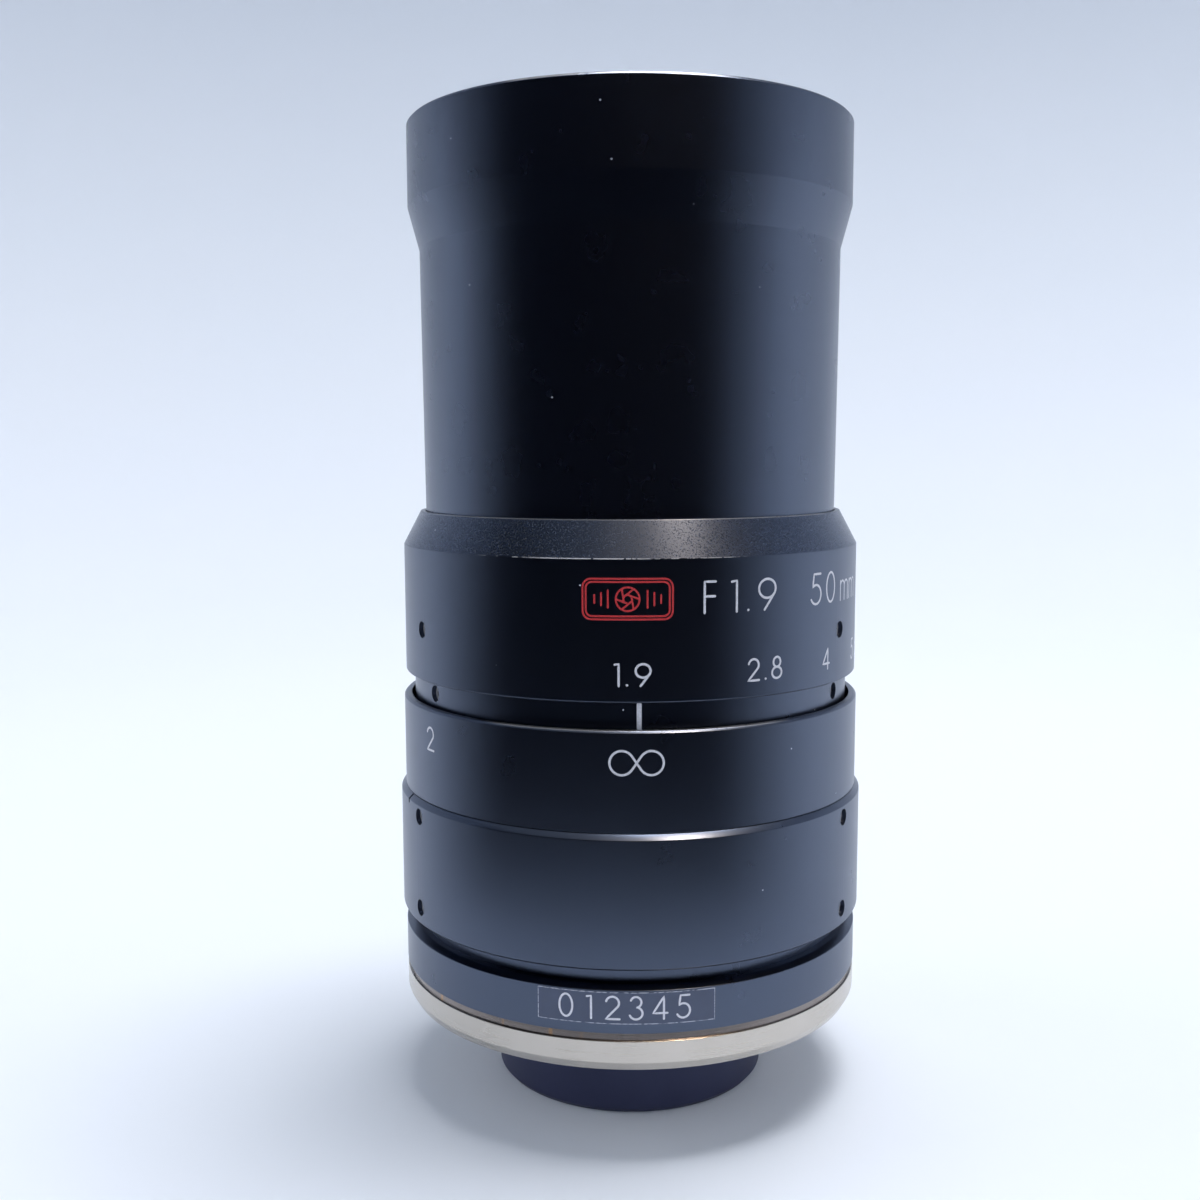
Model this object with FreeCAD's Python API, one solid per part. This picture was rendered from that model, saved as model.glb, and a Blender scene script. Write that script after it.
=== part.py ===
"""Photographic lens on a 25.4 mm camera thread: aperture ring, focus ring, iris and front hood.

Millimetres, +Z along the optical axis towards the subject. The origin is the centre of the
rear cap's resting face. Azimuth 0 is the index line, on the -Y side, and a positive azimuth
turns by the right-hand rule about +Z. The lens is drawn at infinity focus, iris wide open.
"""
import os
from math import asin, atan2, cos, degrees, hypot, pi, radians, sin, sqrt

import FreeCAD
import Part

# ---- driving dimensions ------------------------------------------------------------------
# Clearances
RUN = 0.05                    # running fit, on the radius
SEAT = 0.03                   # glass in its cell, on the radius
GAP = 0.05                    # end gap between rings that turn against each other

# Rear cap and camera thread
THREAD_R = 12.7               # 1 inch camera thread, outside radius
THREAD_LENGTH = 4.0
THREAD_LEAD_IN = 0.35         # chamfer on the thread's end
THREAD_TIP_GAP = 0.3          # thread end to the cap's floor
CAP_WALL = 1.25
CAP_FLOOR = 1.2               # dust cap, closed end
CAP_EDGE = 0.4                # chamfer round the resting face
CAP_RIM_EDGE = 0.2
SEAT_GAP = 0.2                # cap rim to the seat face
SEAT_WIDTH = 2.3              # seat face that meets the camera, outside the thread
BOSS_HEIGHT = 3.45
REAR_WALL = 1.9               # thread's wall round the light path

# Barrel and its fixed guide, from the inside outwards
GUIDE_R = 18.0                # thin guide tube
GUIDE_WALL = 1.4
GUIDE_TOP_DROP = 5.0          # guide tube's end below the lens carrier's top
CARRIER_WALL = 2.05
NUT_WALL = 1.85
BARREL_WALL = 1.95
BARREL_HEIGHT = 12.59
BARREL_CHAMFER = 0.5
BARREL_FOOT_EDGE = 0.25
BARREL_STEP = 2.99            # height of the thick foot inside the barrel
FOOT_WALL = 2.95              # foot of the guide, which the barrel's lower screws grip
HUB_WALL = 1.9                # guide inside the lock ring
NECK_INSET, NECK_HEIGHT = 1.8, 1.71  # dark groove under the barrel
NOTCH_AZIMUTH = -69.0
NOTCH_WIDTH, NOTCH_HEIGHT, NOTCH_DEPTH = 0.3, 0.9, 0.5
BAFFLE_RING_LIP, BAFFLE_RING_THICK = 0.4, 0.8

# Lock ring between the flange and the barrel
LOCK_INSET = 0.31             # set back from the barrel
LOCK_HEIGHT = 4.28
LOCK_TOP_WIDTH = 0.89         # slightly coned edge of its top face
LOCK_TOP_RISE = 0.2
LABEL_FROM, LABEL_TO = -23.0, 17.0
LABEL_HEIGHT = 3.0
LABEL_THICK = 0.06
LABEL_TOP_MARGIN = 0.15

# Mount flange, nickel plated
FLANGE_INSET = 0.02           # set back from the lock ring
FLANGE_HEIGHT = 2.91
FLANGE_CHAMFER_R = 0.5
FLANGE_CHAMFER_Z = 0.87
FLANGE_NECK_INSET = 0.27
FLANGE_NECK_HEIGHT = 0.76
FLANGE_SCREW_OFFSET = 0.2     # screws' circle outside the guide tube's radius
FLANGE_SCREW_COUNT = 4
FLANGE_SCREW_R, FLANGE_HEAD_R, FLANGE_HEAD_HEIGHT = 1.0, 1.9, 0.9
FLANGE_SCREW_GRIP = 2.6       # depth in the guide
RECESS_LENGTH, RECESS_WIDTH, RECESS_DEPTH = 2.1, 0.4, 0.55

# Focusing
FOCUS_INSET = 0.47            # focus ring set back from the barrel
FOCUS_HEIGHT = 9.33
FOCUS_SKIRT = 0.75            # thin wall outside the index ring
FOCUS_BEVEL = 0.25
FOCUS_WEB = 1.85              # thick part that holds the helicoid nut
CARRIER_LIFT, NUT_LIFT = 0.8, 0.4  # lower ends above the barrel's step
HELICOID_LEAD = 8.49          # travel for one turn
FOCUS_TURN = 270.0            # infinity stop to near stop, degrees
STOP_PIN_R = 0.4
STOP_PIN_AZIMUTH = 150.0
STOP_PIN_REACH = 1.3
STOP_PIN_SUNK = 1.8
STOP_MARGIN = 0.3             # degrees kept free at each stop
TRACK_GAP = 0.1
GROOVE_POINT_R = 0.5          # screw points that run in the nut's groove
GROOVE_GRIP, GROOVE_DEPTH, GROOVE_HALF_WIDTH = 0.45, 0.6, 0.65
KEY_WIDTH, KEY_HEIGHT, KEY_COUNT = 2.9, 4.0, 3
KEY_LIFT = 1.6                # key above the carrier's lower edge
KEY_INNER, KEY_OUTER = 0.3, 0.6  # key's ends inside the guide's bore and the carrier's thread
KEY_SLOT_GAP = 0.3
KEY_SCREW_R = 0.5

# Index ring
INDEX_GAP = 0.36              # inside the focus ring's skirt
INDEX_VISIBLE = 2.42          # shown above the focus ring
INDEX_OVERLAP = 6.88          # hidden inside the focus ring

# Aperture ring and the iris
HOUSING_INSET = 1.02          # housing inside the index ring's radius
HOUSING_WALL = 1.1
HOUSING_OVER_RING = 0.65      # housing's top above the aperture ring's straight part
HOUSING_SPIGOT_WALL, HOUSING_SPIGOT_GAP = 0.6, 0.6
DRIVE_RING_WALL = 0.75        # inner ring that the aperture ring's screws grip
DRIVE_RING_HEIGHT = 8.0
DRIVE_RING_LIFT = 0.95
APERTURE_WALL = 1.11
APERTURE_HEIGHT = 12.85
APERTURE_EDGE = 0.15
APERTURE_TUBE_GAP = 0.09      # round the front tube, on the radius
SHOULDER_HEIGHT, SHOULDER_INSET = 3.34, 1.76  # conical shoulder
CELL_SEAT_LIFT = 0.6          # rear cell's seat above the carrier's top
IRIS_FLOOR = 2.4
APERTURE_TURN = 140.0         # wide open to smallest stop, degrees
BLADE_COUNT = 5
BLADE_FIRST = 20.0            # azimuth of the first blade's pivot
BLADE_THICK = 0.12
BLADE_PITCH = 0.17
BLADE_SWEEP, BLADE_TAIL = 128.0, 4.0  # degrees either side of its pivot
STOP_OPEN_R = 9.8             # wide open
STOP_CLOSED_R = 1.5           # smallest stop
STOP_MARGIN_R = 0.1           # open blades clear the light path by this
BLADE_OUTER_INSET = 4.4       # inside the housing's bore
BLADE_PIVOT_INSET = 2.7
BLADE_LEVER = 5.4
BLADE_ARM_WIDTH, BLADE_NECK_WIDTH, BLADE_EYE_R = 1.2, 1.8, 0.9
PIVOT_PIN_R, PIVOT_PIN_LENGTH = 0.35, 1.1
LEVER_PIN_R = 0.3
ROTOR_GAP = 0.15
ROTOR_THICK = 0.8
ROTOR_BORE_MARGIN, COVER_BORE_MARGIN = 0.4, 0.8
ROTOR_RIM_WIDTH = 1.05
ROTOR_RIM_HEIGHT = 3.0
COVER_THICK = 1.0
DRIVE_PIN_R = 0.7
DRIVE_PIN_AZIMUTH = -90.0
DRIVE_PIN_LIFT = 0.75         # above the rotor's plate

# Front tube
TUBE_INSET = 0.39             # tube inside the housing's radius
TUBE_TAPER = 0.24
TUBE_HEIGHT = 25.96           # shoulder top to the flare
FLARE_HEIGHT = 4.15
RIM_PROUD = 1.35              # rim outside the tube's foot
RIM_HEIGHT = 8.07
RIM_BEVEL = 0.25
SPIGOT_WALL = 1.95
SPIGOT_GAP = 0.55             # above the iris rotor's rim
HOOD_WALL = 1.11
FILTER_WALL = 1.26            # rim round the 43 mm filter thread
FILTER_LENGTH = 4.5
FILTER_LEAD_IN = 0.35
BAFFLE_COUNT = 9
BAFFLE_DEPTH = 0.35
BAFFLE_WIDTH = 0.9
BAFFLE_START, BAFFLE_END = 3.2, 1.2  # plain lengths below and above the grooves

# Cells that hold the glass
FRONT_SEAT_LIFT = 2.69        # front cell's flange above the front lens's rim
CELL_FLANGE, CELL_FLANGE_WIDTH, CELL_RELIEF = 1.4, 0.8, 0.6
CELL_LIP = 0.4
CELL_THREAD = 0.47            # retaining ring's radius outside the front lens
CELL_END_GAP = 0.3
SPACER_LIP, SPACER_PROUD = 0.2, 0.07
FRONT_RING_HEIGHT, FRONT_RING_SLOT, RING_LIP = 1.7, 0.9, 0.1
REAR_TAIL = 2.4
REAR_STEP, REAR_STEP_LIFT = 1.4, 1.0
REAR_LIP = 0.15
REAR_RING_HEIGHT, REAR_RING_SLOT, REAR_RING_LIP = 1.9, 1.0, 0.2
SPANNER_SLOT = 1.6
CUT = 1.0                     # cutters reach this far outside what they cut

# Glass: each surface is (vertex height above the iris floor's top, radius, clear radius).
# A positive radius has its centre below the vertex.
FRONT_GLASS = {
    "front_lens": ((25.0, 38.0, 15.0), (20.0, 110.0, 16.0), 16.0),
    "second_lens": ((19.6, 24.0, 12.5), (13.6, 60.0, 13.0), 14.0),
    "third_lens": ((13.6, 60.0, 13.0), (11.8, 15.5, 11.0), 13.0),
}
REAR_GLASS = {
    "fourth_lens": ((-7.4, -15.5, 9.6), (-9.0, 90.0, 12.0), 12.0),
    "fifth_lens": ((-9.0, 90.0, 12.0), (-15.5, -21.0, 10.8), 12.0),
    "sixth_lens": ((-16.1, 85.0, 10.7), (-20.1, -48.0, 10.7), 12.0),
}

# Grub screws: azimuth of the first of three, and height above the base of the ring
SCREW_R = 0.8
SCREW_SINK = 0.45
SOCKET_AF = 0.7
SOCKET_DEPTH = 0.6
SCREW_BODY = 1.9              # threaded length of a screw with a point
SCREW_HOLE_RUN_OUT = 0.5
SCREWS_ROUND = 3
BARREL_SCREWS_AT = -61.65
BARREL_LOW_SCREW_LIFT = 1.78
BARREL_HIGH_SCREW_DROP = 1.6  # below the barrel's top
INDEX_SCREWS_AT = -59.55
INDEX_SCREW_DROP = 1.15       # below the index ring's top
APERTURE_SCREWS_AT = -61.8
APERTURE_SCREW_LIFT = 5.03

# ---- radii worked out from the sizes above -----------------------------------------------
CAP_R = THREAD_R + RUN + CAP_WALL
BOSS_R = THREAD_R + SEAT_WIDTH
REAR_BORE_R = THREAD_R - REAR_WALL
GUIDE_BORE_R = GUIDE_R - GUIDE_WALL
HELICOID_R = GUIDE_R + RUN + CARRIER_WALL
NUT_R = HELICOID_R + RUN + NUT_WALL
BARREL_R = NUT_R + RUN + BARREL_WALL
SPIGOT_R = GUIDE_R + FOOT_WALL
HUB_R = GUIDE_R + HUB_WALL
NECK_R = BARREL_R - NECK_INSET
LOCK_R = BARREL_R - LOCK_INSET
LOCK_TOP_R = LOCK_R - LOCK_TOP_WIDTH
FLANGE_R = LOCK_R - FLANGE_INSET
FLANGE_NECK_R = FLANGE_R - FLANGE_NECK_INSET
FLANGE_SCREW_PCD_R = GUIDE_R + FLANGE_SCREW_OFFSET
FOCUS_R = BARREL_R - FOCUS_INSET
FOCUS_BORE_R = FOCUS_R - FOCUS_SKIRT
INDEX_R = FOCUS_BORE_R - INDEX_GAP
HOUSING_R = INDEX_R - HOUSING_INSET
HOUSING_BORE_R = HOUSING_R - HOUSING_WALL
DRIVE_RING_R = HOUSING_R + RUN + DRIVE_RING_WALL
APERTURE_R = DRIVE_RING_R + APERTURE_WALL
SHOULDER_TOP_R = APERTURE_R - SHOULDER_INSET
BLADE_OUTER_R = HOUSING_BORE_R - BLADE_OUTER_INSET
BLADE_PIVOT_R = HOUSING_BORE_R - BLADE_PIVOT_INSET
TUBE_R = HOUSING_R - TUBE_INSET
TUBE_TOP_R = TUBE_R + TUBE_TAPER
TUBE_SPIGOT_R = HOUSING_BORE_R - RUN
CELL_BORE_R = TUBE_SPIGOT_R - SPIGOT_WALL
HOOD_BORE_R = TUBE_R - HOOD_WALL
RIM_R = TUBE_R + RIM_PROUD
FILTER_R = RIM_R - FILTER_WALL

# ---- heights worked out from the sizes above ---------------------------------------------
Z_THREAD = CAP_FLOOR + THREAD_TIP_GAP
Z_SEAT = Z_THREAD + THREAD_LENGTH
Z_FLANGE = Z_SEAT + BOSS_HEIGHT
Z_NECK = Z_FLANGE + FLANGE_HEIGHT
Z_LOCK = Z_NECK + FLANGE_NECK_HEIGHT
Z_GROOVE = Z_LOCK + LOCK_HEIGHT
Z_BARREL = Z_GROOVE + NECK_HEIGHT
Z_STEP = Z_BARREL + BARREL_STEP
Z_FOCUS = Z_BARREL + BARREL_HEIGHT
Z_FOCUS_TOP = Z_FOCUS + GAP + FOCUS_HEIGHT
Z_INDEX_TOP = Z_FOCUS_TOP + INDEX_VISIBLE
Z_INDEX = Z_FOCUS_TOP - INDEX_OVERLAP
Z_APERTURE = Z_INDEX_TOP + GAP
Z_SHOULDER = Z_APERTURE + APERTURE_HEIGHT
Z_SHOULDER_TOP = Z_SHOULDER + SHOULDER_HEIGHT
Z_FLARE = Z_SHOULDER_TOP + TUBE_HEIGHT
Z_RIM = Z_FLARE + FLARE_HEIGHT
Z_TOP = Z_RIM + RIM_HEIGHT
Z_CARRIER = Z_STEP + CARRIER_LIFT
Z_NUT = Z_STEP + NUT_LIFT
Z_NUT_TOP = Z_FOCUS + GAP + FOCUS_WEB
Z_GUIDE_TOP = Z_INDEX_TOP - GUIDE_TOP_DROP
Z_CELL_SEAT = Z_INDEX_TOP + CELL_SEAT_LIFT
Z_IRIS = Z_CELL_SEAT + IRIS_FLOOR
Z_ROTOR = Z_IRIS + RUN + BLADE_COUNT * BLADE_PITCH + ROTOR_GAP
Z_RIM_OF_ROTOR = Z_ROTOR + ROTOR_RIM_HEIGHT
Z_HOUSING_TOP = Z_INDEX_TOP + APERTURE_HEIGHT + HOUSING_OVER_RING
Z_SPIGOT = Z_RIM_OF_ROTOR + SPIGOT_GAP
Z_DRIVE_PIN = Z_ROTOR + ROTOR_THICK + DRIVE_PIN_LIFT
Z_BARREL_LOW_SCREWS = Z_BARREL + BARREL_LOW_SCREW_LIFT
Z_BARREL_HIGH_SCREWS = Z_FOCUS - BARREL_HIGH_SCREW_DROP
FOCUS_TRAVEL = HELICOID_LEAD * FOCUS_TURN / 360.0
BLADE_SHIFT = STOP_OPEN_R + STOP_MARGIN_R - STOP_CLOSED_R
BLADE_TURN = 2.0 * degrees(asin(BLADE_SHIFT / (2.0 * BLADE_PIVOT_R)))
AXIS = FreeCAD.Vector(0, 0, 1)
ORIGIN = FreeCAD.Vector(0, 0, 0)


def vector(x, y, z=0.0):
    return FreeCAD.Vector(x, y, z)


def at(azimuth, radius, z=0.0):
    """The point at an azimuth from the index line."""
    a = radians(azimuth)
    return vector(radius * sin(a), -radius * cos(a), z)


def turned(outline):
    """A solid of revolution about Z from (radius, height) corners."""
    corners = [vector(r, 0, z) for r, z in outline]
    wire = Part.makePolygon(corners + corners[:1])
    return Part.Face(wire).revolve(ORIGIN, AXIS, 360)


def ring(inner, outer, low, high):
    return turned([(inner, low), (outer, low), (outer, high), (inner, high)])


def radial_cylinder(azimuth, radius, inner, outer, z):
    """A cylinder along the radius, from inner to outer."""
    start = at(azimuth, inner, z)
    return Part.makeCylinder(radius, outer - inner, start, at(azimuth, 1.0))


def sector(inner, outer, low, high, start, end):
    """Part of a ring between two azimuths."""
    edge = Part.makePolygon([vector(inner, 0, low), vector(outer, 0, low), vector(outer, 0, high),
                             vector(inner, 0, high), vector(inner, 0, low)])
    block = Part.Face(edge).revolve(ORIGIN, AXIS, end - start)
    block.rotate(ORIGIN, AXIS, start - 90.0)
    return block


def radial_block(azimuth, inner, outer, width, low, high):
    """A rectangular block that points outwards at an azimuth."""
    block = Part.makeBox(outer - inner, width, high - low, vector(inner, -width / 2, low))
    block.rotate(ORIGIN, AXIS, azimuth - 90.0)
    return block


def three(first):
    return [first + 360.0 / SCREWS_ROUND * i for i in range(SCREWS_ROUND)]


def grub_screw(azimuth, tip, outside, z, point_r=SCREW_R):
    """A hexagon socket grub screw, sunk below the surface it sits in, with its own point."""
    head = outside - SCREW_SINK
    body_tip = max(tip, outside - SCREW_BODY) if point_r != SCREW_R else tip
    screw = radial_cylinder(azimuth, SCREW_R, body_tip, head, z)
    if point_r != SCREW_R:
        screw = screw.fuse(radial_cylinder(azimuth, point_r, tip, body_tip, z))
    corner = SOCKET_AF / sqrt(3.0)
    hexagon = [vector(corner * cos(pi / 3 * i), corner * sin(pi / 3 * i)) for i in range(7)]
    socket = Part.Face(Part.makePolygon(hexagon)).extrude(vector(0, 0, SOCKET_DEPTH))
    socket.Placement = FreeCAD.Placement(at(azimuth, head - SOCKET_DEPTH, z),
                                         FreeCAD.Rotation(AXIS, at(azimuth, 1.0)))
    return screw.cut(socket)


def screws(first, tip, outside, z, point_r=SCREW_R):
    return Part.makeCompound([grub_screw(a, tip, outside, z, point_r) for a in three(first)])


def drilled(body, first, inner, outside, z):
    """Cut the three grub screws' holes."""
    for azimuth in three(first):
        body = body.cut(radial_cylinder(azimuth, SCREW_R, inner - SCREW_HOLE_RUN_OUT, outside + CUT, z))
    return body


def sag(radius, height):
    depth = abs(radius) - sqrt(radius * radius - height * height)
    return depth if radius > 0 else -depth


def lens(top, bottom, edge_r, datum):
    """A lens element from its two spherical surfaces, with a flat rim outside each clear radius."""
    z_top, r_top, clear_top = top[0] + datum, top[1], top[2]
    z_bottom, r_bottom, clear_bottom = bottom[0] + datum, bottom[1], bottom[2]
    rim_top = z_top - sag(r_top, clear_top)
    rim_bottom = z_bottom - sag(r_bottom, clear_bottom)

    def arc(z, radius, clear):
        half = clear / 2.0
        return Part.Arc(vector(0, 0, z), vector(half, 0, z - sag(radius, half)),
                        vector(clear, 0, z - sag(radius, clear))).toShape()

    edges = [arc(z_top, r_top, clear_top)]
    path = [(clear_top, rim_top), (edge_r, rim_top), (edge_r, rim_bottom), (clear_bottom, rim_bottom)]
    for (r0, z0), (r1, z1) in zip(path, path[1:]):
        if hypot(r1 - r0, z1 - z0) > 1e-6:
            edges.append(Part.makeLine(vector(r0, 0, z0), vector(r1, 0, z1)))
    edges.append(arc(z_bottom, r_bottom, clear_bottom))
    edges.append(Part.makeLine(vector(0, 0, z_bottom), vector(0, 0, z_top)))
    return Part.Face(Part.Wire(Part.__sortEdges__(edges))).revolve(ORIGIN, AXIS, 360)


def rim_height(surface):
    """Height of the flat rim of a lens surface."""
    return Z_IRIS + surface[0] - sag(surface[1], surface[2])


# ---- rear: cap, flange, lock ring --------------------------------------------------------
def rear_cap():
    rim = Z_SEAT - SEAT_GAP
    bore = THREAD_R + RUN
    return turned([(0, 0), (CAP_R - CAP_EDGE, 0), (CAP_R, CAP_EDGE), (CAP_R, rim - CAP_RIM_EDGE),
                   (CAP_R - CAP_RIM_EDGE, rim), (bore, rim), (bore, CAP_FLOOR), (0, CAP_FLOOR)])


def flange_screw_places():
    return [45.0 + 360.0 / FLANGE_SCREW_COUNT * i for i in range(FLANGE_SCREW_COUNT)]


def flange_screw(azimuth, slotted=True):
    """A countersunk M2 screw, head down in the flange."""
    def place(z):
        return at(azimuth, FLANGE_SCREW_PCD_R, z)

    shank_low = Z_FLANGE + FLANGE_HEAD_HEIGHT
    cone = Part.makeCone(FLANGE_HEAD_R, FLANGE_SCREW_R, FLANGE_HEAD_HEIGHT, place(Z_FLANGE), AXIS)
    shank = Part.makeCylinder(FLANGE_SCREW_R, Z_LOCK + FLANGE_SCREW_GRIP - shank_low, place(shank_low), AXIS)
    screw = cone.fuse(shank)
    if not slotted:
        return screw
    for turn in (0.0, 90.0):
        bar = Part.makeBox(RECESS_LENGTH, RECESS_WIDTH, RECESS_DEPTH,
                           vector(-RECESS_LENGTH / 2, -RECESS_WIDTH / 2, 0))
        bar.Placement = FreeCAD.Placement(place(Z_FLANGE), FreeCAD.Rotation(AXIS, azimuth + turn))
        screw = screw.cut(bar)
    return screw


def mount_flange():
    body = turned([
        (REAR_BORE_R, Z_THREAD), (THREAD_R - THREAD_LEAD_IN, Z_THREAD),
        (THREAD_R, Z_THREAD + THREAD_LEAD_IN),
        (THREAD_R, Z_SEAT), (BOSS_R, Z_SEAT), (BOSS_R, Z_FLANGE),
        (FLANGE_R - FLANGE_CHAMFER_R, Z_FLANGE), (FLANGE_R, Z_FLANGE + FLANGE_CHAMFER_Z),
        (FLANGE_R, Z_NECK), (FLANGE_NECK_R, Z_NECK), (FLANGE_NECK_R, Z_LOCK), (REAR_BORE_R, Z_LOCK)])
    for azimuth in flange_screw_places():
        body = body.cut(flange_screw(azimuth, slotted=False))
    return body


def flange_screws():
    return Part.makeCompound([flange_screw(a) for a in flange_screw_places()])


def lock_ring():
    return turned([(HUB_R, Z_LOCK), (LOCK_R, Z_LOCK), (LOCK_R, Z_GROOVE - LOCK_TOP_RISE),
                   (LOCK_TOP_R, Z_GROOVE), (HUB_R, Z_GROOVE)])


def number_label():
    top = Z_GROOVE - LOCK_TOP_RISE - LABEL_TOP_MARGIN
    return sector(LOCK_R, LOCK_R + LABEL_THICK, top - LABEL_HEIGHT, top, LABEL_FROM, LABEL_TO)


# ---- barrel ------------------------------------------------------------------------------
def guide_barrel():
    body = turned([
        (GUIDE_BORE_R, Z_LOCK), (HUB_R, Z_LOCK), (HUB_R, Z_GROOVE), (NECK_R, Z_GROOVE),
        (NECK_R, Z_BARREL), (SPIGOT_R, Z_BARREL), (SPIGOT_R, Z_STEP), (GUIDE_R, Z_STEP),
        (GUIDE_R, Z_GUIDE_TOP), (GUIDE_BORE_R, Z_GUIDE_TOP)])
    for azimuth in flange_screw_places():
        body = body.cut(flange_screw(azimuth, slotted=False))
    for azimuth in key_places():
        slot = radial_block(azimuth, GUIDE_BORE_R - CUT, GUIDE_R + CUT, KEY_WIDTH + 2 * RUN,
                            Z_CARRIER + KEY_LIFT - KEY_SLOT_GAP, Z_GUIDE_TOP + CUT)
        body = body.cut(slot)
    return body


def baffle_ring():
    return ring(REAR_BORE_R + BAFFLE_RING_LIP, GUIDE_BORE_R, Z_LOCK, Z_LOCK + BAFFLE_RING_THICK)


def barrel_sleeve():
    bore = NUT_R + RUN
    body = turned([
        (SPIGOT_R, Z_BARREL), (BARREL_R - BARREL_FOOT_EDGE, Z_BARREL), (BARREL_R, Z_BARREL + BARREL_FOOT_EDGE),
        (BARREL_R, Z_FOCUS - BARREL_CHAMFER), (BARREL_R - BARREL_CHAMFER, Z_FOCUS),
        (bore, Z_FOCUS), (bore, Z_STEP), (SPIGOT_R, Z_STEP)])
    body = drilled(body, BARREL_SCREWS_AT, SPIGOT_R, BARREL_R, Z_BARREL_LOW_SCREWS)
    body = drilled(body, BARREL_SCREWS_AT, bore, BARREL_R, Z_BARREL_HIGH_SCREWS)
    notch = radial_block(NOTCH_AZIMUTH, BARREL_R - NOTCH_DEPTH, BARREL_R + CUT, NOTCH_WIDTH,
                         Z_FOCUS - NOTCH_HEIGHT, Z_FOCUS + CUT)
    return body.cut(notch).cut(stop_pin())


def barrel_lower_screws():
    return screws(BARREL_SCREWS_AT, SPIGOT_R, BARREL_R, Z_BARREL_LOW_SCREWS)


def barrel_upper_screws():
    """Their points run in the helicoid nut's groove, so that it turns but doesn't lift."""
    return screws(BARREL_SCREWS_AT, NUT_R - GROOVE_GRIP, BARREL_R, Z_BARREL_HIGH_SCREWS, GROOVE_POINT_R)


def stop_pin():
    middle = (SPIGOT_R + NUT_R + RUN) / 2.0
    low = Z_STEP - STOP_PIN_SUNK
    return Part.makeCylinder(STOP_PIN_R, Z_STEP + STOP_PIN_REACH - low,
                             at(STOP_PIN_AZIMUTH, middle, low), AXIS)


# ---- focusing ----------------------------------------------------------------------------
def focus_ring():
    low = Z_FOCUS + GAP
    return turned([
        (NUT_R, low), (FOCUS_R, low), (FOCUS_R, Z_FOCUS_TOP - FOCUS_BEVEL),
        (FOCUS_R - FOCUS_BEVEL, Z_FOCUS_TOP), (FOCUS_BORE_R, Z_FOCUS_TOP),
        (FOCUS_BORE_R, Z_NUT_TOP), (NUT_R, Z_NUT_TOP)])


def helicoid_nut():
    bore = HELICOID_R + RUN
    body = ring(bore, NUT_R, Z_NUT, Z_NUT_TOP)
    body = body.cut(ring(NUT_R - GROOVE_DEPTH, NUT_R + CUT, Z_BARREL_HIGH_SCREWS - GROOVE_HALF_WIDTH,
                         Z_BARREL_HIGH_SCREWS + GROOVE_HALF_WIDTH))
    margin = degrees(STOP_PIN_R / (NUT_R - STOP_PIN_R)) + STOP_MARGIN
    track = sector(bore - CUT, NUT_R + CUT, Z_NUT - CUT, Z_STEP + STOP_PIN_REACH + TRACK_GAP,
                   STOP_PIN_AZIMUTH - FOCUS_TURN - margin, STOP_PIN_AZIMUTH + margin)
    return body.cut(track)


# ---- lens carrier, index ring ------------------------------------------------------------
def key_places():
    return [360.0 / KEY_COUNT * i for i in range(KEY_COUNT)]


def guide_key(azimuth):
    low = Z_CARRIER + KEY_LIFT
    return radial_block(azimuth, GUIDE_BORE_R + KEY_INNER, HELICOID_R - KEY_OUTER, KEY_WIDTH,
                        low, low + KEY_HEIGHT)


def key_screw(azimuth):
    """A cheese-head screw from outside, through the carrier's pocket into its key."""
    z = Z_CARRIER + KEY_LIFT + KEY_HEIGHT / 2
    return radial_cylinder(azimuth, KEY_SCREW_R, GUIDE_R, HELICOID_R - KEY_OUTER, z)


def guide_keys():
    return Part.makeCompound([guide_key(a).cut(key_screw(a)) for a in key_places()])


def key_screws():
    return Part.makeCompound([key_screw(a) for a in key_places()])


def lens_carrier():
    body = ring(GUIDE_R + RUN, HELICOID_R, Z_CARRIER, Z_INDEX_TOP)
    for azimuth in key_places():
        body = body.cut(guide_key(azimuth))
    return body


def index_ring():
    body = turned([(HELICOID_R, Z_INDEX), (INDEX_R, Z_INDEX), (INDEX_R, Z_INDEX_TOP),
                   (HELICOID_R, Z_INDEX_TOP)])
    return drilled(body, INDEX_SCREWS_AT, HELICOID_R, INDEX_R, Z_INDEX_TOP - INDEX_SCREW_DROP)


def index_screws():
    return screws(INDEX_SCREWS_AT, HELICOID_R, INDEX_R, Z_INDEX_TOP - INDEX_SCREW_DROP)


# ---- iris --------------------------------------------------------------------------------
def blade_places():
    return [BLADE_FIRST + 360.0 / BLADE_COUNT * i for i in range(BLADE_COUNT)]


def lever_pin_at(pivot_azimuth, closing):
    """Centre of a blade's drive pin when the blade has turned by closing degrees."""
    pivot = at(pivot_azimuth, BLADE_PIVOT_R)
    outward = radians(pivot_azimuth - 90.0)
    heading = outward + radians(-90.0 - BLADE_TURN / 2.0 + closing)
    return pivot + vector(BLADE_LEVER * cos(heading), BLADE_LEVER * sin(heading))


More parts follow.
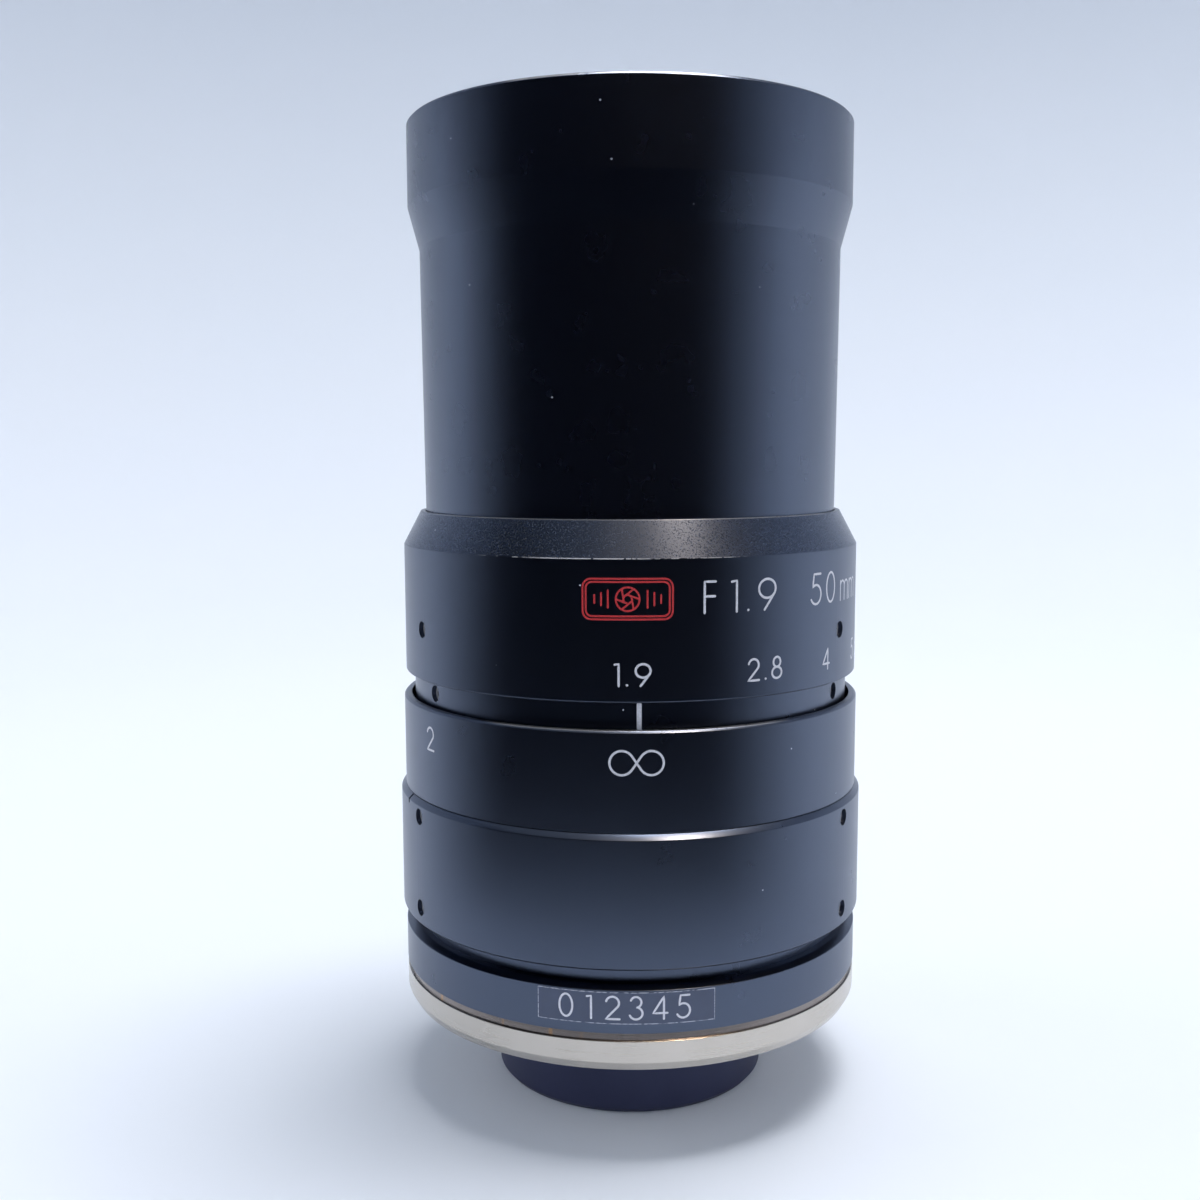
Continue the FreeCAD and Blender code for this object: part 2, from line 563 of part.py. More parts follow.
def iris_housing():
    spigot_bore = GUIDE_BORE_R - HOUSING_SPIGOT_WALL
    spigot_low = Z_GUIDE_TOP + HOUSING_SPIGOT_GAP
    body = turned([
        (spigot_bore, spigot_low), (GUIDE_R + RUN, spigot_low),
        (GUIDE_R + RUN, Z_INDEX_TOP), (HOUSING_R, Z_INDEX_TOP), (HOUSING_R, Z_HOUSING_TOP),
        (HOUSING_BORE_R, Z_HOUSING_TOP), (HOUSING_BORE_R, Z_IRIS), (STOP_OPEN_R, Z_IRIS),
        (STOP_OPEN_R, Z_CELL_SEAT), (spigot_bore, Z_CELL_SEAT)])
    for azimuth in blade_places():
        hole_low = Z_IRIS - PIVOT_PIN_LENGTH - 2 * RUN
        body = body.cut(Part.makeCylinder(PIVOT_PIN_R + RUN, Z_IRIS + 2 * RUN - hole_low,
                                          at(azimuth, BLADE_PIVOT_R, hole_low), AXIS))
    margin = degrees(DRIVE_PIN_R / HOUSING_BORE_R) + STOP_MARGIN
    slot = sector(HOUSING_BORE_R - CUT, HOUSING_R + CUT, Z_DRIVE_PIN - DRIVE_PIN_R - RUN,
                  Z_DRIVE_PIN + DRIVE_PIN_R + RUN, DRIVE_PIN_AZIMUTH - APERTURE_TURN - margin,
                  DRIVE_PIN_AZIMUTH + margin)
    return body.cut(slot)


def iris_blade(number):
    """One crescent blade with its pivot pin below and its drive pin above, on its own level."""
    azimuth = blade_places()[number]
    low = Z_IRIS + RUN + BLADE_PITCH * number
    high = low + BLADE_THICK
    pivot = at(azimuth, BLADE_PIVOT_R, low)
    pin = lever_pin_at(azimuth, 0.0) + vector(0, 0, low)
    blade = sector(STOP_OPEN_R + STOP_MARGIN_R, BLADE_OUTER_R, low, high, azimuth - BLADE_TAIL,
                   azimuth + BLADE_SWEEP)
    blade = blade.fuse(radial_block(azimuth, BLADE_OUTER_R - CUT, BLADE_PIVOT_R, BLADE_NECK_WIDTH,
                                    low, high))
    blade = blade.fuse(Part.makeCylinder(BLADE_EYE_R, BLADE_THICK, pivot, AXIS))
    span = pin - pivot
    arm = Part.makeBox(span.Length, BLADE_ARM_WIDTH, BLADE_THICK, vector(0, -BLADE_ARM_WIDTH / 2, 0))
    arm.Placement = FreeCAD.Placement(pivot, FreeCAD.Rotation(AXIS, degrees(atan2(span.y, span.x))))
    blade = blade.fuse(arm).fuse(Part.makeCylinder(BLADE_ARM_WIDTH / 2, BLADE_THICK, pin, AXIS))
    pin_low = Z_IRIS - PIVOT_PIN_LENGTH
    blade = blade.fuse(Part.makeCylinder(PIVOT_PIN_R, high - pin_low,
                                         at(azimuth, BLADE_PIVOT_R, pin_low), AXIS))
    return blade.fuse(Part.makeCylinder(LEVER_PIN_R, Z_ROTOR + ROTOR_THICK - 2 * RUN - low, pin, AXIS))


def cam_slot(azimuth):
    """The rotor's slot for one drive pin: the pin's path, seen from the turning rotor."""
    steps = 16
    middle = []
    for i in range(steps + 1):
        share = i / steps
        point = lever_pin_at(azimuth, BLADE_TURN * share)
        back = FreeCAD.Rotation(AXIS, APERTURE_TURN * share)
        middle.append(back.multVec(point))
    width = LEVER_PIN_R + RUN
    sides = {1: [], -1: []}
    for i, point in enumerate(middle):
        ahead = middle[min(i + 1, steps)] - middle[max(i - 1, 0)]
        ahead.normalize()
        for side in sides:
            sides[side].append(point + vector(-ahead.y, ahead.x) * width * side)
    curves = []
    for side in sides:
        curve = Part.BSplineCurve()
        curve.interpolate(sides[side])
        curves.append(curve.toShape())
    for end, inner in ((0, 1), (steps, steps - 1)):
        out = middle[end] - middle[inner]
        out.normalize()
        curves.append(Part.Arc(sides[1][end], middle[end] + out * width, sides[-1][end]).toShape())
    face = Part.Face(Part.Wire(Part.__sortEdges__(curves)))
    slot = face.extrude(vector(0, 0, ROTOR_THICK + CUT))
    slot.translate(vector(0, 0, Z_ROTOR - CUT))
    return slot


def iris_rotor():
    outer = HOUSING_BORE_R - RUN
    body = turned([
        (STOP_OPEN_R + ROTOR_BORE_MARGIN, Z_ROTOR), (outer, Z_ROTOR), (outer, Z_RIM_OF_ROTOR),
        (outer - ROTOR_RIM_WIDTH, Z_RIM_OF_ROTOR), (outer - ROTOR_RIM_WIDTH, Z_ROTOR + ROTOR_THICK),
        (STOP_OPEN_R + ROTOR_BORE_MARGIN, Z_ROTOR + ROTOR_THICK)])
    for azimuth in blade_places():
        body = body.cut(cam_slot(azimuth))
    return body.cut(aperture_drive_pin())


def iris_cover():
    outer = HOUSING_BORE_R - RUN - ROTOR_RIM_WIDTH - 2 * RUN
    low = Z_ROTOR + ROTOR_THICK + RUN
    return ring(STOP_OPEN_R + COVER_BORE_MARGIN, outer, low, low + COVER_THICK)


def aperture_drive_pin():
    inner = HOUSING_BORE_R - RUN - ROTOR_RIM_WIDTH
    outer = DRIVE_RING_R - DRIVE_PIN_R ** 2 / DRIVE_RING_R
    return radial_cylinder(DRIVE_PIN_AZIMUTH, DRIVE_PIN_R, inner, outer, Z_DRIVE_PIN)


def aperture_drive_ring():
    low = Z_APERTURE + DRIVE_RING_LIFT
    body = ring(HOUSING_R + RUN, DRIVE_RING_R, low, low + DRIVE_RING_HEIGHT)
    return body.cut(aperture_drive_pin())


def aperture_ring():
    step = Z_APERTURE + DRIVE_RING_LIFT + DRIVE_RING_HEIGHT
    lip = Z_HOUSING_TOP + GAP
    bore = TUBE_R + APERTURE_TUBE_GAP
    body = turned([
        (DRIVE_RING_R, Z_APERTURE), (APERTURE_R - APERTURE_EDGE, Z_APERTURE),
        (APERTURE_R, Z_APERTURE + APERTURE_EDGE), (APERTURE_R, Z_SHOULDER), (SHOULDER_TOP_R, Z_SHOULDER_TOP),
        (bore, Z_SHOULDER_TOP), (bore, lip), (HOUSING_R + RUN, lip), (HOUSING_R + RUN, step),
        (DRIVE_RING_R, step)])
    return drilled(body, APERTURE_SCREWS_AT, DRIVE_RING_R + SCREW_HOLE_RUN_OUT, APERTURE_R,
                   Z_APERTURE + APERTURE_SCREW_LIFT)


def aperture_screws():
    return screws(APERTURE_SCREWS_AT, DRIVE_RING_R, APERTURE_R, Z_APERTURE + APERTURE_SCREW_LIFT)


# ---- front tube and optics ---------------------------------------------------------------
def front_flange_height():
    return rim_height(FRONT_GLASS["front_lens"][0]) + FRONT_SEAT_LIFT


def front_tube():
    hood = front_flange_height()
    filter_low = Z_TOP - FILTER_LENGTH
    body = turned([
        (CELL_BORE_R, Z_SPIGOT), (TUBE_SPIGOT_R, Z_SPIGOT), (TUBE_SPIGOT_R, Z_HOUSING_TOP),
        (TUBE_R, Z_HOUSING_TOP), (TUBE_R, Z_SHOULDER_TOP), (TUBE_TOP_R, Z_FLARE), (RIM_R, Z_RIM),
        (RIM_R, Z_TOP - RIM_BEVEL), (RIM_R - RIM_BEVEL, Z_TOP), (FILTER_R + FILTER_LEAD_IN, Z_TOP),
        (FILTER_R, Z_TOP - FILTER_LEAD_IN), (FILTER_R, filter_low), (HOOD_BORE_R, filter_low),
        (HOOD_BORE_R, hood), (CELL_BORE_R, hood)])
    first = hood + BAFFLE_START
    pitch = (filter_low - BAFFLE_END - first) / (BAFFLE_COUNT - 1)
    for i in range(BAFFLE_COUNT):
        z = first + pitch * i
        body = body.cut(turned([(HOOD_BORE_R - CUT, z), (HOOD_BORE_R, z),
                                (HOOD_BORE_R + BAFFLE_DEPTH, z + BAFFLE_WIDTH / 2),
                                (HOOD_BORE_R, z + BAFFLE_WIDTH), (HOOD_BORE_R - CUT, z + BAFFLE_WIDTH)]))
    return body


def front_cell():
    """Stepped tube, loaded from the front, with a flange that seats in the front tube."""
    front, second, third = (FRONT_GLASS[name] for name in ("front_lens", "second_lens", "third_lens"))
    r1, r2, r3 = (glass[2] + SEAT for glass in (front, second, third))
    thread = r1 + CELL_THREAD
    low, lip = Z_SPIGOT + CELL_END_GAP, third[1][2] + CELL_LIP
    z3, z2 = rim_height(third[1]), rim_height(second[1])
    z1, z_ring = rim_height(front[1]), rim_height(front[0])
    seat = front_flange_height()
    outer = CELL_BORE_R - RUN
    return turned([
        (lip, low), (outer, low), (outer, seat), (HOOD_BORE_R - RUN, seat),
        (HOOD_BORE_R - RUN, seat + CELL_FLANGE), (thread + CELL_FLANGE_WIDTH, seat + CELL_FLANGE),
        (thread, seat + CELL_RELIEF), (thread, z_ring), (r1, z_ring), (r1, z1), (r2, z1), (r2, z2),
        (r3, z2), (r3, z3), (lip, z3)])


def front_spacer():
    front, second = FRONT_GLASS["front_lens"], FRONT_GLASS["second_lens"]
    return ring(second[0][2] + SPACER_LIP, second[2] + SEAT, rim_height(second[0]),
                rim_height(front[1]) + SPACER_PROUD)


def spanner_ring(inner, outer, low, high, slot_low, slot_high):
    """A threaded retaining ring with two slots for the spanner."""
    body = ring(inner, outer, low, high)
    for azimuth in (90.0, 270.0):
        body = body.cut(radial_block(azimuth, inner - CUT, outer + CUT, SPANNER_SLOT, slot_low, slot_high))
    return body


def front_retaining_ring():
    front = FRONT_GLASS["front_lens"]
    low = rim_height(front[0])
    high = low + FRONT_RING_HEIGHT
    return spanner_ring(front[0][2] + RING_LIP, front[2] + SEAT + CELL_THREAD, low, high,
                        low + FRONT_RING_SLOT, high + CUT)


def rear_cell():
    """Loaded from the rear; its lip at the front holds the fourth element."""
    fourth, sixth = REAR_GLASS["fourth_lens"], REAR_GLASS["sixth_lens"]
    bore = fourth[2] + SEAT
    grip = GUIDE_BORE_R - HOUSING_SPIGOT_WALL
    low = rim_height(sixth[1]) - REAR_TAIL
    z_lip, z_ring = rim_height(fourth[0]), rim_height(sixth[1])
    neck = Z_GUIDE_TOP + REAR_STEP_LIFT
    tail, lip, thread = grip - REAR_STEP, fourth[0][2] + REAR_LIP, bore + CELL_LIP
    return turned([
        (thread, low), (tail, low), (tail, neck), (grip, neck), (grip, Z_CELL_SEAT), (lip, Z_CELL_SEAT),
        (lip, z_lip), (bore, z_lip), (bore, z_ring), (thread, z_ring)])


def rear_spacer():
    fifth, sixth = REAR_GLASS["fifth_lens"], REAR_GLASS["sixth_lens"]
    return ring(fifth[1][2] + RING_LIP, fifth[2] + SEAT, rim_height(sixth[0]), rim_height(fifth[1]))


def rear_retaining_ring():
    sixth = REAR_GLASS["sixth_lens"]
    high = rim_height(sixth[1])
    low = high - REAR_RING_HEIGHT
    return spanner_ring(sixth[1][2] + REAR_RING_LIP, sixth[2] + SEAT + CELL_LIP, low, high,
                        low - CUT, high - REAR_RING_SLOT)


def glass(group, name):
    top, bottom, edge = group[name]
    return lens(top, bottom, edge, Z_IRIS)


NODES = {
    "rear_cap": rear_cap, "mount_flange": mount_flange, "flange_screws": flange_screws,
    "lock_ring": lock_ring, "number_label": number_label, "guide_barrel": guide_barrel,
    "baffle_ring": baffle_ring, "barrel_sleeve": barrel_sleeve,
    "barrel_lower_screws": barrel_lower_screws, "barrel_upper_screws": barrel_upper_screws,
    "focus_stop_pin": stop_pin, "focus_ring": focus_ring, "helicoid_nut": helicoid_nut,
    "guide_keys": guide_keys, "key_screws": key_screws, "lens_carrier": lens_carrier,
    "index_ring": index_ring, "index_screws": index_screws, "iris_housing": iris_housing,
    "iris_rotor": iris_rotor, "iris_cover": iris_cover, "aperture_drive_pin": aperture_drive_pin,
    "aperture_drive_ring": aperture_drive_ring, "aperture_ring": aperture_ring,
    "aperture_screws": aperture_screws, "front_tube": front_tube, "front_cell": front_cell,
    "front_spacer": front_spacer, "front_retaining_ring": front_retaining_ring,
    "rear_cell": rear_cell, "rear_spacer": rear_spacer, "rear_retaining_ring": rear_retaining_ring,
}

os.makedirs("parts", exist_ok=True)
shapes = {name: make() for name, make in NODES.items()}
for index in range(BLADE_COUNT):
    shapes["iris_blade_%d" % (index + 1)] = iris_blade(index)
for lens_name in FRONT_GLASS:
    shapes[lens_name] = glass(FRONT_GLASS, lens_name)
for lens_name in REAR_GLASS:
    shapes[lens_name] = glass(REAR_GLASS, lens_name)
for name, shape in shapes.items():
    shape.exportStep("parts/%s.step" % name)
    print("%-22s solids %d volume %9.2f valid %s" % (name, len(shape.Solids), shape.Volume, shape.isValid()))
print("focus travel %.4f mm, blade turn %.3f degrees, ratio %.6f" % (FOCUS_TRAVEL, BLADE_TURN,
                                                                   BLADE_TURN / APERTURE_TURN))
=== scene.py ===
"""Looks of the camera lens: turned and blasted black rings, engraved scales, nickel flange, coated glass.

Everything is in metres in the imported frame. An azimuth is counted in degrees from the index line, on the
-Y side, and turns by the right-hand rule about +Z. Sizes in the outlines are in millimetres.
"""
from math import asin, cos, hypot, pi, radians, sin

import bmesh
import bpy
from mathutils import Matrix, Vector


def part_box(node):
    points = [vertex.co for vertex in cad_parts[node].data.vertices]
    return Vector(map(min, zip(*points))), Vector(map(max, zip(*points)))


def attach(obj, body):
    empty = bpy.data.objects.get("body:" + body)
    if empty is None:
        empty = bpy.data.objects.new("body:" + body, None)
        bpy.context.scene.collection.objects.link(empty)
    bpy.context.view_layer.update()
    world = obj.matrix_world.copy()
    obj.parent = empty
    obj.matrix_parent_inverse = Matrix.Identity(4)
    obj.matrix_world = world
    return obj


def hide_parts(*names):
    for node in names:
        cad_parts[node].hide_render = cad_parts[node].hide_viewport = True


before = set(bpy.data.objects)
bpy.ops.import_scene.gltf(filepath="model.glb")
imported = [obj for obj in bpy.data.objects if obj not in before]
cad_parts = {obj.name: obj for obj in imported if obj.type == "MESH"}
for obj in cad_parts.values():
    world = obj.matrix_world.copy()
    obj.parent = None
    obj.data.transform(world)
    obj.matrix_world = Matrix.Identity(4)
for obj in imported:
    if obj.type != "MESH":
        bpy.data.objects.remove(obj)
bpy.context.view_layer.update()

MM = 0.001
SEGMENTS = 256                # steps round a turned ring
THREAD_STEPS = 72             # steps for one turn of a thread
HOLE_SEGMENTS = 40            # sides of a drilled hole
SMOOTH_BELOW = radians(36)    # steeper edges stay sharp
WELD = 1e-7                   # metres, under which two corners are one
STROKE = 0.21                 # width of the engraving tool
PAINT_PROUD = 0.012           # paint above the ring it fills
SCREW_BORE = 0.82             # radius of a locking screw's hole
SCREWS_IN_A_ROW = 3
BLADES_IN_IRIS = 5

# ---- camera, in millimetres and degrees --------------------------------------------------
CAMERA_AZIMUTH = -2.2
CAMERA_DISTANCE = 142.4
CAMERA_HEIGHT = 65.89
CAMERA_TURN = 1.247           # aim left of the axis
CAMERA_DOWN = 6.516
CAMERA_ROLL = -0.164
LENS_MM = 40.92
SENSOR_WIDTH = 36.0


def at(azimuth, radius, z=0.0):
    """A point in metres from an azimuth in degrees, and a radius and height in millimetres."""
    a = radians(azimuth)
    return Vector((radius * sin(a), -radius * cos(a), z)) * MM


def radial(azimuth, radius, z):
    """Places a shape so that its own +Z points outwards at an azimuth."""
    turn = Matrix.Rotation(radians(azimuth), 4, "Z") @ Matrix.Rotation(pi / 2, 4, "X")
    return Matrix.Translation(at(azimuth, radius, z)) @ turn


# ---- shader maths ------------------------------------------------------------------------
MIX_FIRST, MIX_SECOND, MIX_RESULT = 6, 7, 2   # the colour sockets of a Mix node


class Wire:
    """A node socket that takes part in Python expressions, which add Math nodes."""

    def __init__(self, finish, socket):
        self.finish = finish
        self.socket = socket

    def output(self, name):
        """Another output of the same node."""
        return Wire(self.finish, self.socket.node.outputs[name])

    def _math(self, operation, first, second=None):
        return self.finish.node("ShaderNodeMath", {"operation": operation}, {0: first, 1: second})

    def __add__(self, other):
        return self._math("ADD", self, other)

    def __sub__(self, other):
        return self._math("SUBTRACT", self, other)

    def __rsub__(self, other):
        return self._math("SUBTRACT", other, self)

    def __mul__(self, other):
        return self._math("MULTIPLY", self, other)

    def __gt__(self, other):
        return self._math("GREATER_THAN", self, other)

    def __lt__(self, other):
        return self._math("LESS_THAN", self, other)

    def __abs__(self):
        return self._math("ABSOLUTE", self)

    __radd__ = __add__
    __rmul__ = __mul__


class Finish:
    """A material: a Principled shader with its constants, and nodes added by one method."""

    def __init__(self, name, color, roughness, metallic=0.0, **constants):
        self.material = bpy.data.materials.new(name)
        self.material.use_nodes = True
        self.tree = self.material.node_tree
        self.shader = self.tree.nodes["Principled BSDF"]
        self.shader.inputs["Base Color"].default_value = (*color, 1.0)
        self.shader.inputs["Roughness"].default_value = roughness
        self.shader.inputs["Metallic"].default_value = metallic
        for socket, value in constants.items():
            self.shader.inputs[socket.replace("_", " ")].default_value = value
        self.place = self.node("ShaderNodeTexCoord", {}, {}, "Object")

    def node(self, kind, settings, sockets, output=0):
        """Adds a node with its settings, and with the values or links of its sockets."""
        node = self.tree.nodes.new(kind)
        for key, value in settings.items():
            setattr(node, key, value)
        for key, value in sockets.items():
            if isinstance(value, Wire):
                self.tree.links.new(value.socket, node.inputs[key])
            elif value is not None:
                node.inputs[key].default_value = value
        return Wire(self, node.outputs[output])

    def noise(self, scale, detail=2.0, place=None, roughness=0.5):
        """A cloudy value from 0 to 1."""
        return self.node("ShaderNodeTexNoise", {}, {"Vector": place or self.place, "Scale": scale,
                                                    "Detail": detail, "Roughness": roughness})

    def stretched(self, x, y, z):
        """The place, scaled by its own factor along each axis."""
        return self.node("ShaderNodeMapping", {}, {"Vector": self.place, "Scale": (x, y, z)})

    def around(self):
        """Azimuth of each point, in radians."""
        x = self.node("ShaderNodeSeparateXYZ", {}, {0: self.place}, "X")
        return self.node("ShaderNodeMath", {"operation": "ARCTAN2"}, {0: x, 1: 0.0 - x.output("Y")})

    def height(self):
        """Height of each point, in metres."""
        return self.node("ShaderNodeSeparateXYZ", {}, {0: self.place}, "Z")

    def ramp(self, value, low, high):
        """0 below low, 1 above high."""
        return self.node("ShaderNodeMapRange", {"interpolation_type": "SMOOTHSTEP"},
                         {"Value": value, "From Min": low, "From Max": high})

    def mix(self, share, first, second):
        """The first colour where the share is 0, the second where it is 1."""
        first, second = ((*c, 1.0) if isinstance(c, tuple) else c for c in (first, second))
        return self.node("ShaderNodeMix", {"data_type": "RGBA"},
                         {0: share, MIX_FIRST: first, MIX_SECOND: second}, MIX_RESULT)

    def set(self, socket, wire):
        """Feeds a socket of the shader."""
        self.tree.links.new(wire.socket, self.shader.inputs[socket])

    def bump(self, height, strength, depth):
        """A relief, with its depth in millimetres."""
        self.set("Normal", self.node("ShaderNodeBump", {}, {"Height": height, "Strength": strength,
                                                            "Distance": depth * MM}))

    def dust(self, scale, share, size=0.16):
        """Sparse specks: one cell in a few hundred holds one."""
        near = self.node("ShaderNodeTexVoronoi", {}, {"Vector": self.place, "Scale": scale}, "Distance")
        pick = self.node("ShaderNodeSeparateColor", {}, {0: near.output("Color")})
        return (near < size) * (pick > 1.0 - share)


BLACK = (0.0009, 0.0015, 0.0042)
COLD_SHEEN = (0.53, 0.65, 0.93, 1.0)
BARE_AND_HIGHLIGHT = (0.62, 0.60, 0.58)     # metal where the black is scuffed off, and the colour of the painted edge highlights
DUST = (0.55, 0.56, 0.60)
# GLITTER is the colour of painted glints on the blasted cone.
GLITTER = (0.30, 0.29, 0.28)
CLOUDING = 0.03               # how far the sheen of the blasting wanders
WORN_AND_HIGHLIGHT_FADE = 9.0               # degrees over which each scuffed edge and painted edge highlight begins and ends
NECK = 0.76                   # height of the flange's narrower neck, in millimetres


def shade(color, factor):
    """A colour made darker or lighter."""
    return tuple(min(1.0, c * factor) for c in color)


def anodised(name, roughness=0.28, worn_and_highlit=(), sparkle=()):
    """Bead-blasted black anodising.

    The edge list holds (height, half width, from, to, share, brightness) of thin lines in bare metal
    colour:
    scuffed edges, and painted highlights on polished bevels. sparkle gives the heights between which
    painted glints of the blasting lighten the colour.
    """
    m = Finish(name, BLACK, roughness, IOR=1.85, Specular_IOR_Level=0.95, Specular_Tint=COLD_SHEEN)
    azimuth, height = m.around(), m.height()
    blast = m.noise(8200.0)
    cloud = m.noise(260.0, 3.0)
    chips_and_highlight_breakup = m.noise(900.0, 4.0, m.stretched(1.0, 1.0, 0.15), 0.7)
    speck = m.dust(2100.0, 0.0025)
    base = m.mix(cloud, shade(BLACK, 0.85), shade(BLACK, 1.2))
    base = m.mix(speck, base, DUST)
    metal = speck * 0.0       # none but on the scuffed edges and the painted edge highlights
    for z, half, start, end, share, brightness in worn_and_highlit:
        near = m.ramp(abs(height - z * MM), half * MM, half * MM * 0.6)
        middle, spread = (start + end) / 2, (end - start) / 2
        inside = m.ramp(abs(azimuth - radians(middle)), radians(spread), radians(spread - WORN_AND_HIGHLIGHT_FADE))
        # bare metal colour along an edge: real scuffing on some edges, a painted highlight on the others
        rubbed_and_highlit = near * inside * m.ramp(chips_and_highlight_breakup, 0.93 - share, 1.0 - share)
        base = m.mix(rubbed_and_highlit, base, shade(BARE_AND_HIGHLIGHT, brightness))
        metal = metal + rubbed_and_highlit * 0.3
    rough = cloud * CLOUDING + (roughness - CLOUDING / 2)
    for low, high in sparkle:
        glitter = m.noise(6400.0, 1.0)
        inside = (height > low * MM) * (height < high * MM) * m.ramp(glitter, 0.52, 0.68)
        # painted glints: paler specks in the base colour, with the roughness lowered there
        base = m.mix(inside * 0.12, base, GLITTER)
        rough = rough - inside * 0.13
    m.bump(blast, 0.06, 0.02)
    m.set("Base Color", base)
    m.set("Metallic", metal)
    m.set("Roughness", rough)
    return m.material


def nickel():
    """Turned and plated mount metal, with brown tarnish on its neck."""
    m = Finish("nickel_plate", (0.70, 0.66, 0.58), 0.24, 1.0)
    turning = m.noise(1.0, 3.0, m.stretched(30.0, 30.0, 9000.0), 0.6)
    cloud = m.noise(180.0, 3.0)
    stain = m.noise(700.0, 2.0, m.stretched(1.0, 1.0, 0.1))
    plated = m.mix(cloud, (0.63, 0.585, 0.53), (0.56, 0.515, 0.455))
    tarnish = m.mix(m.ramp(stain, 0.60, 0.72), (0.20, 0.17, 0.165), (0.46, 0.25, 0.11))
    neck = m.height() > (z_flange_top - NECK) * MM
    m.set("Base Color", m.mix(neck * 0.8, plated, tarnish))
    m.set("Roughness", turning * 0.10 + cloud * 0.08 + 0.17)
    m.bump(turning, 0.10, 0.02)
    return m.material


def moulded():
    """Matt black plastic of the dust cap."""
    m = Finish("moulded_cap", (0.012, 0.013, 0.019), 0.5, Specular_IOR_Level=0.5, Specular_Tint=COLD_SHEEN)
    fine = m.noise(5200.0)
    cloud = m.noise(150.0, 3.0)
    m.set("Base Color", m.mix(cloud, (0.024, 0.025, 0.056), (0.036, 0.037, 0.078)))
    m.set("Roughness", cloud * 0.12 + 0.44)
    m.bump(fine, 0.2, 0.02)
    return m.material


def oxide_steel():
    """Black oxide on the locking screws and pins, painted a pale grey that stands in for the light caught
    in their holes.
    """
    m = Finish("oxide_steel", (0.3, 0.3, 0.33), 0.4, 0.3)
    marks = m.noise(2600.0, 3.0)
    # painted highlight: the grey stands in for the glint in the screw holes; the oxide itself is near
    # black
    m.set("Base Color", m.mix(marks, (0.20, 0.205, 0.23), (0.42, 0.425, 0.46)))
    m.set("Roughness", marks * 0.2 + 0.28)
    m.bump(marks, 0.15, 0.03)
    return m.material


def turned_brass():
    """Brass of the helicoid nut and the guide keys."""
    m = Finish("turned_brass", (0.72, 0.52, 0.24), 0.3, 1.0)
    turning = m.noise(1.0, 3.0, m.stretched(30.0, 30.0, 7000.0), 0.6)
    m.set("Base Color", m.mix(turning, (0.60, 0.42, 0.18), (0.80, 0.60, 0.30)))
    m.set("Roughness", turning * 0.16 + 0.22)
    m.bump(turning, 0.12, 0.03)
    return m.material


def blade_steel():
    """Blackened, brushed iris metal."""
    m = Finish("blade_steel", (0.03, 0.03, 0.034), 0.42, 0.7)
    brushed = m.noise(1.0, 3.0, m.stretched(5200.0, 260.0, 260.0), 0.6)
    m.set("Base Color", m.mix(brushed, (0.018, 0.018, 0.021), (0.05, 0.05, 0.056)))
    m.set("Roughness", brushed * 0.18 + 0.32)
    m.bump(brushed, 0.08, 0.02)
    return m.material


def coated_glass():
    """Lens glass with a green-tinted coating and a faint smear."""
    m = Finish("coated_glass", (0.93, 0.96, 0.98), 0.02, Transmission_Weight=1.0, IOR=1.62,
               Coat_Weight=1.0, Coat_Roughness=0.02, Coat_Tint=(0.55, 0.85, 0.70, 1.0))
    smear = m.noise(240.0, 3.0)
    m.set("Roughness", m.ramp(smear, 0.5, 0.9) * 0.03 + 0.01)
    return m.material


def paint(name, color):
    """Enamel in an engraved stroke, a little uneven."""
    m = Finish(name, color, 0.55)
    uneven = m.noise(5200.0, 3.0)
    m.set("Base Color", m.mix(uneven, shade(color, 0.72), shade(color, 1.2)))
    m.set("Roughness", uneven * 0.2 + 0.42)
    m.bump(uneven, 0.35, 0.04)
    return m.material


def tape():
    """Dark label film with a pale ragged line along its cut edges, partly the film's own paler edge and
    partly a painted highlight.
    """
    m = Finish("label_tape", (0.05, 0.055, 0.075), 0.3, Coat_Weight=0.4)
    middle_z, half_z = (LABEL_LOW + LABEL_HIGH) / 2 * MM, (LABEL_HIGH - LABEL_LOW) / 2 * MM
    rise = abs(m.height() - middle_z) > half_z - 0.07 * MM
    middle, half = (LABEL_FROM + LABEL_TO) / 2, (LABEL_TO - LABEL_FROM) / 2
    side = abs(m.around() - radians(middle)) > radians(half - 0.17)
    torn = m.noise(2600.0, 3.0, m.stretched(1.0, 1.0, 3.0))
    edge = m.ramp(rise + side, 0.3, 0.9) * m.ramp(torn, 0.35, 0.6)
    cloud = m.noise(520.0, 4.0)
    body = m.mix(cloud, (0.032, 0.047, 0.095), (0.052, 0.073, 0.138))
    # the pale edge colour: the film's ragged edge, with a painted highlight on it
    m.set("Base Color", m.mix(edge, body, (0.50, 0.52, 0.60)))
    m.set("Roughness", cloud * 0.25 + 0.22)
    m.bump(cloud, 0.1, 0.05)
    return m.material


# ---- making pieces -----------------------------------------------------------------------
def link(name, data):
    """An object of this name in the scene."""
    piece = bpy.data.objects.new(name, data)
    bpy.context.scene.collection.objects.link(piece)
    return piece


def to_mesh(bm, name):
    """A mesh of this name, in place of the bmesh."""
    mesh = bpy.data.meshes.new(name)
    bm.to_mesh(mesh)
    bm.free()
    return mesh


def smooth(mesh, angle=SMOOTH_BELOW):
    """Smooth shading, with the steeper edges left sharp."""
    mesh.polygons.foreach_set("use_smooth", [True] * len(mesh.polygons))
    mesh.set_sharp_from_angle(angle=angle)


def settle(piece, body, material, replaced=()):
    """The last steps of every piece: its finish, its body and what it stands for."""
    piece.data.materials.clear()
    piece.data.materials.append(material)
    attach(piece, body)
    if replaced:
        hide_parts(*replaced)
    return piece


def spin(bm, outline, angle, steps, climb=0.0, merge=False):
    """Turns an outline about the lens axis, and leaves the surface that it sweeps."""
    bmesh.ops.spin(bm, geom=outline, cent=(0, 0, 0), axis=(0, 0, 1), dvec=(0, 0, climb), angle=angle,
                   steps=steps, use_merge=merge, use_normal_flip=False, use_duplicate=False)


